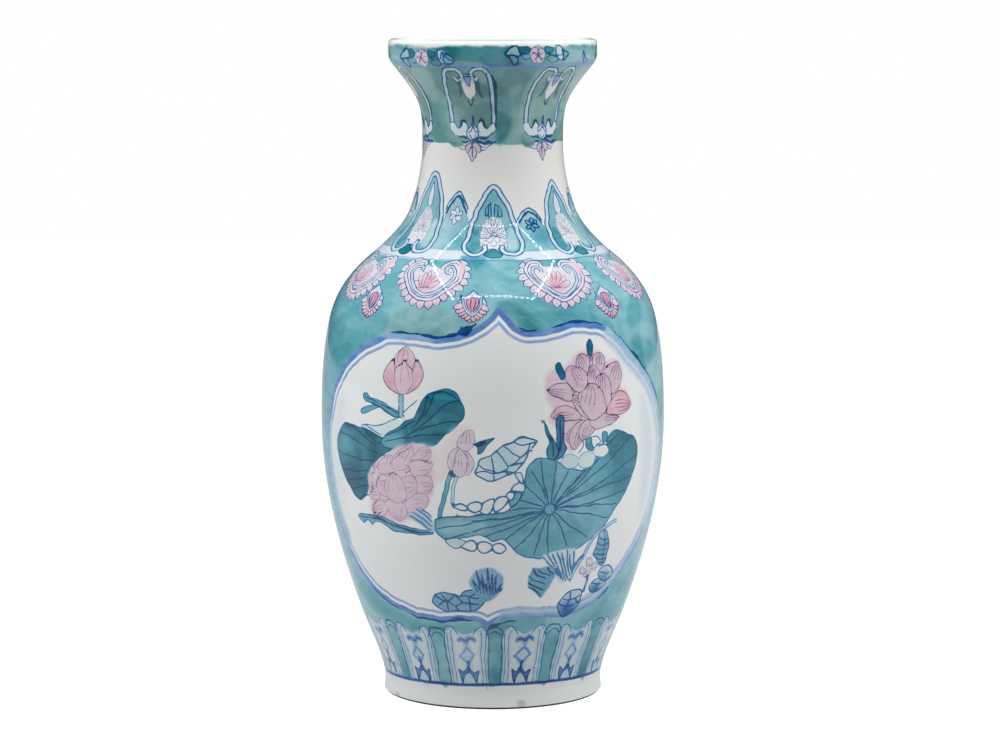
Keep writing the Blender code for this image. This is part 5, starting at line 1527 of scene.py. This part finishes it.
h = studioLook["floorSize"] / 2
_, tree = staged("floor", [(-h, -h, 0), (h, -h, 0), (h, h, 0), (-h, h, 0)])
tree.nodes.remove(tree.nodes["Principled BSDF"])
diffuse = tree.nodes.new("ShaderNodeBsdfDiffuse")
diffuse.inputs["Color"].default_value = (studioLook["floorDiffuse"],) * 3 + (1.0,)
glow = tree.nodes.new("ShaderNodeEmission")
glow.inputs["Color"].default_value = studioLook["coolLight"] + (1.0,)
tree.links.new(rayLevel(tree, studioLook["floorGlow"], [("Is Camera Ray", studioLook["floorSeen"])]),
        glow.inputs["Strength"])
both = tree.nodes.new("ShaderNodeAddShader")
for socket, part in zip(both.inputs, (diffuse, glow)):
    tree.links.new(part.outputs[0], socket)
tree.links.new(both.outputs[0], tree.nodes["Material Output"].inputs["Surface"])

# the camera sees a white backdrop, mirror reflections see the dim room
scene.world = bpy.data.worlds.new("studio")
scene.world.use_nodes = True
tree = scene.world.node_tree
backdrop = tree.nodes["Background"]
level = studioLook["worldLevel"]
rays = [("Is Camera Ray", 1.0 - level), ("Is Glossy Ray", studioLook["glossLevel"] - level)]
tree.links.new(rayLevel(tree, level, rays), backdrop.inputs["Strength"])
backdrop.inputs["Color"].default_value = (1.0, 1.0, 1.0, 1.0)

for name, (place, side, power) in studioLook["boxes"].items():
    lamp = bpy.data.lights.new(name, "AREA")
    lamp.size, lamp.energy, lamp.color = side, power, studioLook["coolLight"]
    box = bpy.data.objects.new(name, lamp)
    box.location = place
    box.rotation_euler = (Vector(studioLook["aim"]) - Vector(place)).to_track_quat("-Z", "Y").to_euler()
    box.visible_glossy = False
    scene.collection.objects.link(box)


# Frame of small lamps overhead: it is only seen mirrored, as dotted lines on the shoulder
def ledFrame():
    look = studioLook
    x, front, back, half = look["frameHalf"], look["frameFront"], look["frameBack"], look["ledSize"] / 2
    rows = [((-x, front), (x, front)), ((-x, front), (-x, back)), ((x, front), (x, back))]
    spots = []
    for (x0, y0), (x1, y1) in rows:
        count = int(math.hypot(x1 - x0, y1 - y0) / look["ledPitch"])
        spots += [(x0 + (x1 - x0) * i / count, y0 + (y1 - y0) * i / count) for i in range(count + 1)]
    lights, tree = staged("ledFrame", [(cx + dx * half, cy + dy * half, look["frameHeight"]) for cx,
            cy in spots for dx, dy in ((-1, -1), (-1, 1), (1, 1), (1, -1))])
    lights.visible_camera = lights.visible_diffuse = lights.visible_shadow = False
    shader = tree.nodes["Principled BSDF"]
    shader.inputs["Emission Color"].default_value = (1.0, 1.0, 1.0, 1.0)
    shader.inputs["Emission Strength"].default_value = look["ledGlow"]


ledFrame()

# Camera at the photograph's viewing angle
cameraLook = {"x": 4.0, "distance": 1885.0, "height": 407.0, "tilt": 6.85, "focalPixels": 3440.0, "frame": 1000.0,
        "sensor": 36.0, "far": 50.0}
lens = bpy.data.cameras.new("photoView")
lens.sensor_fit = "HORIZONTAL"
lens.sensor_width = cameraLook["sensor"]
lens.lens = cameraLook["sensor"] * cameraLook["focalPixels"] / cameraLook["frame"]
lens.clip_end = cameraLook["far"]
view = bpy.data.objects.new("photoView", lens)
view.location = (cameraLook["x"] * mm, -cameraLook["distance"] * mm, cameraLook["height"] * mm)
view.rotation_euler = (math.radians(90 - cameraLook["tilt"]), 0, 0)
scene.collection.objects.link(view)
scene.camera = view
scene.view_settings.view_transform = "Standard"
print("studio and camera set")
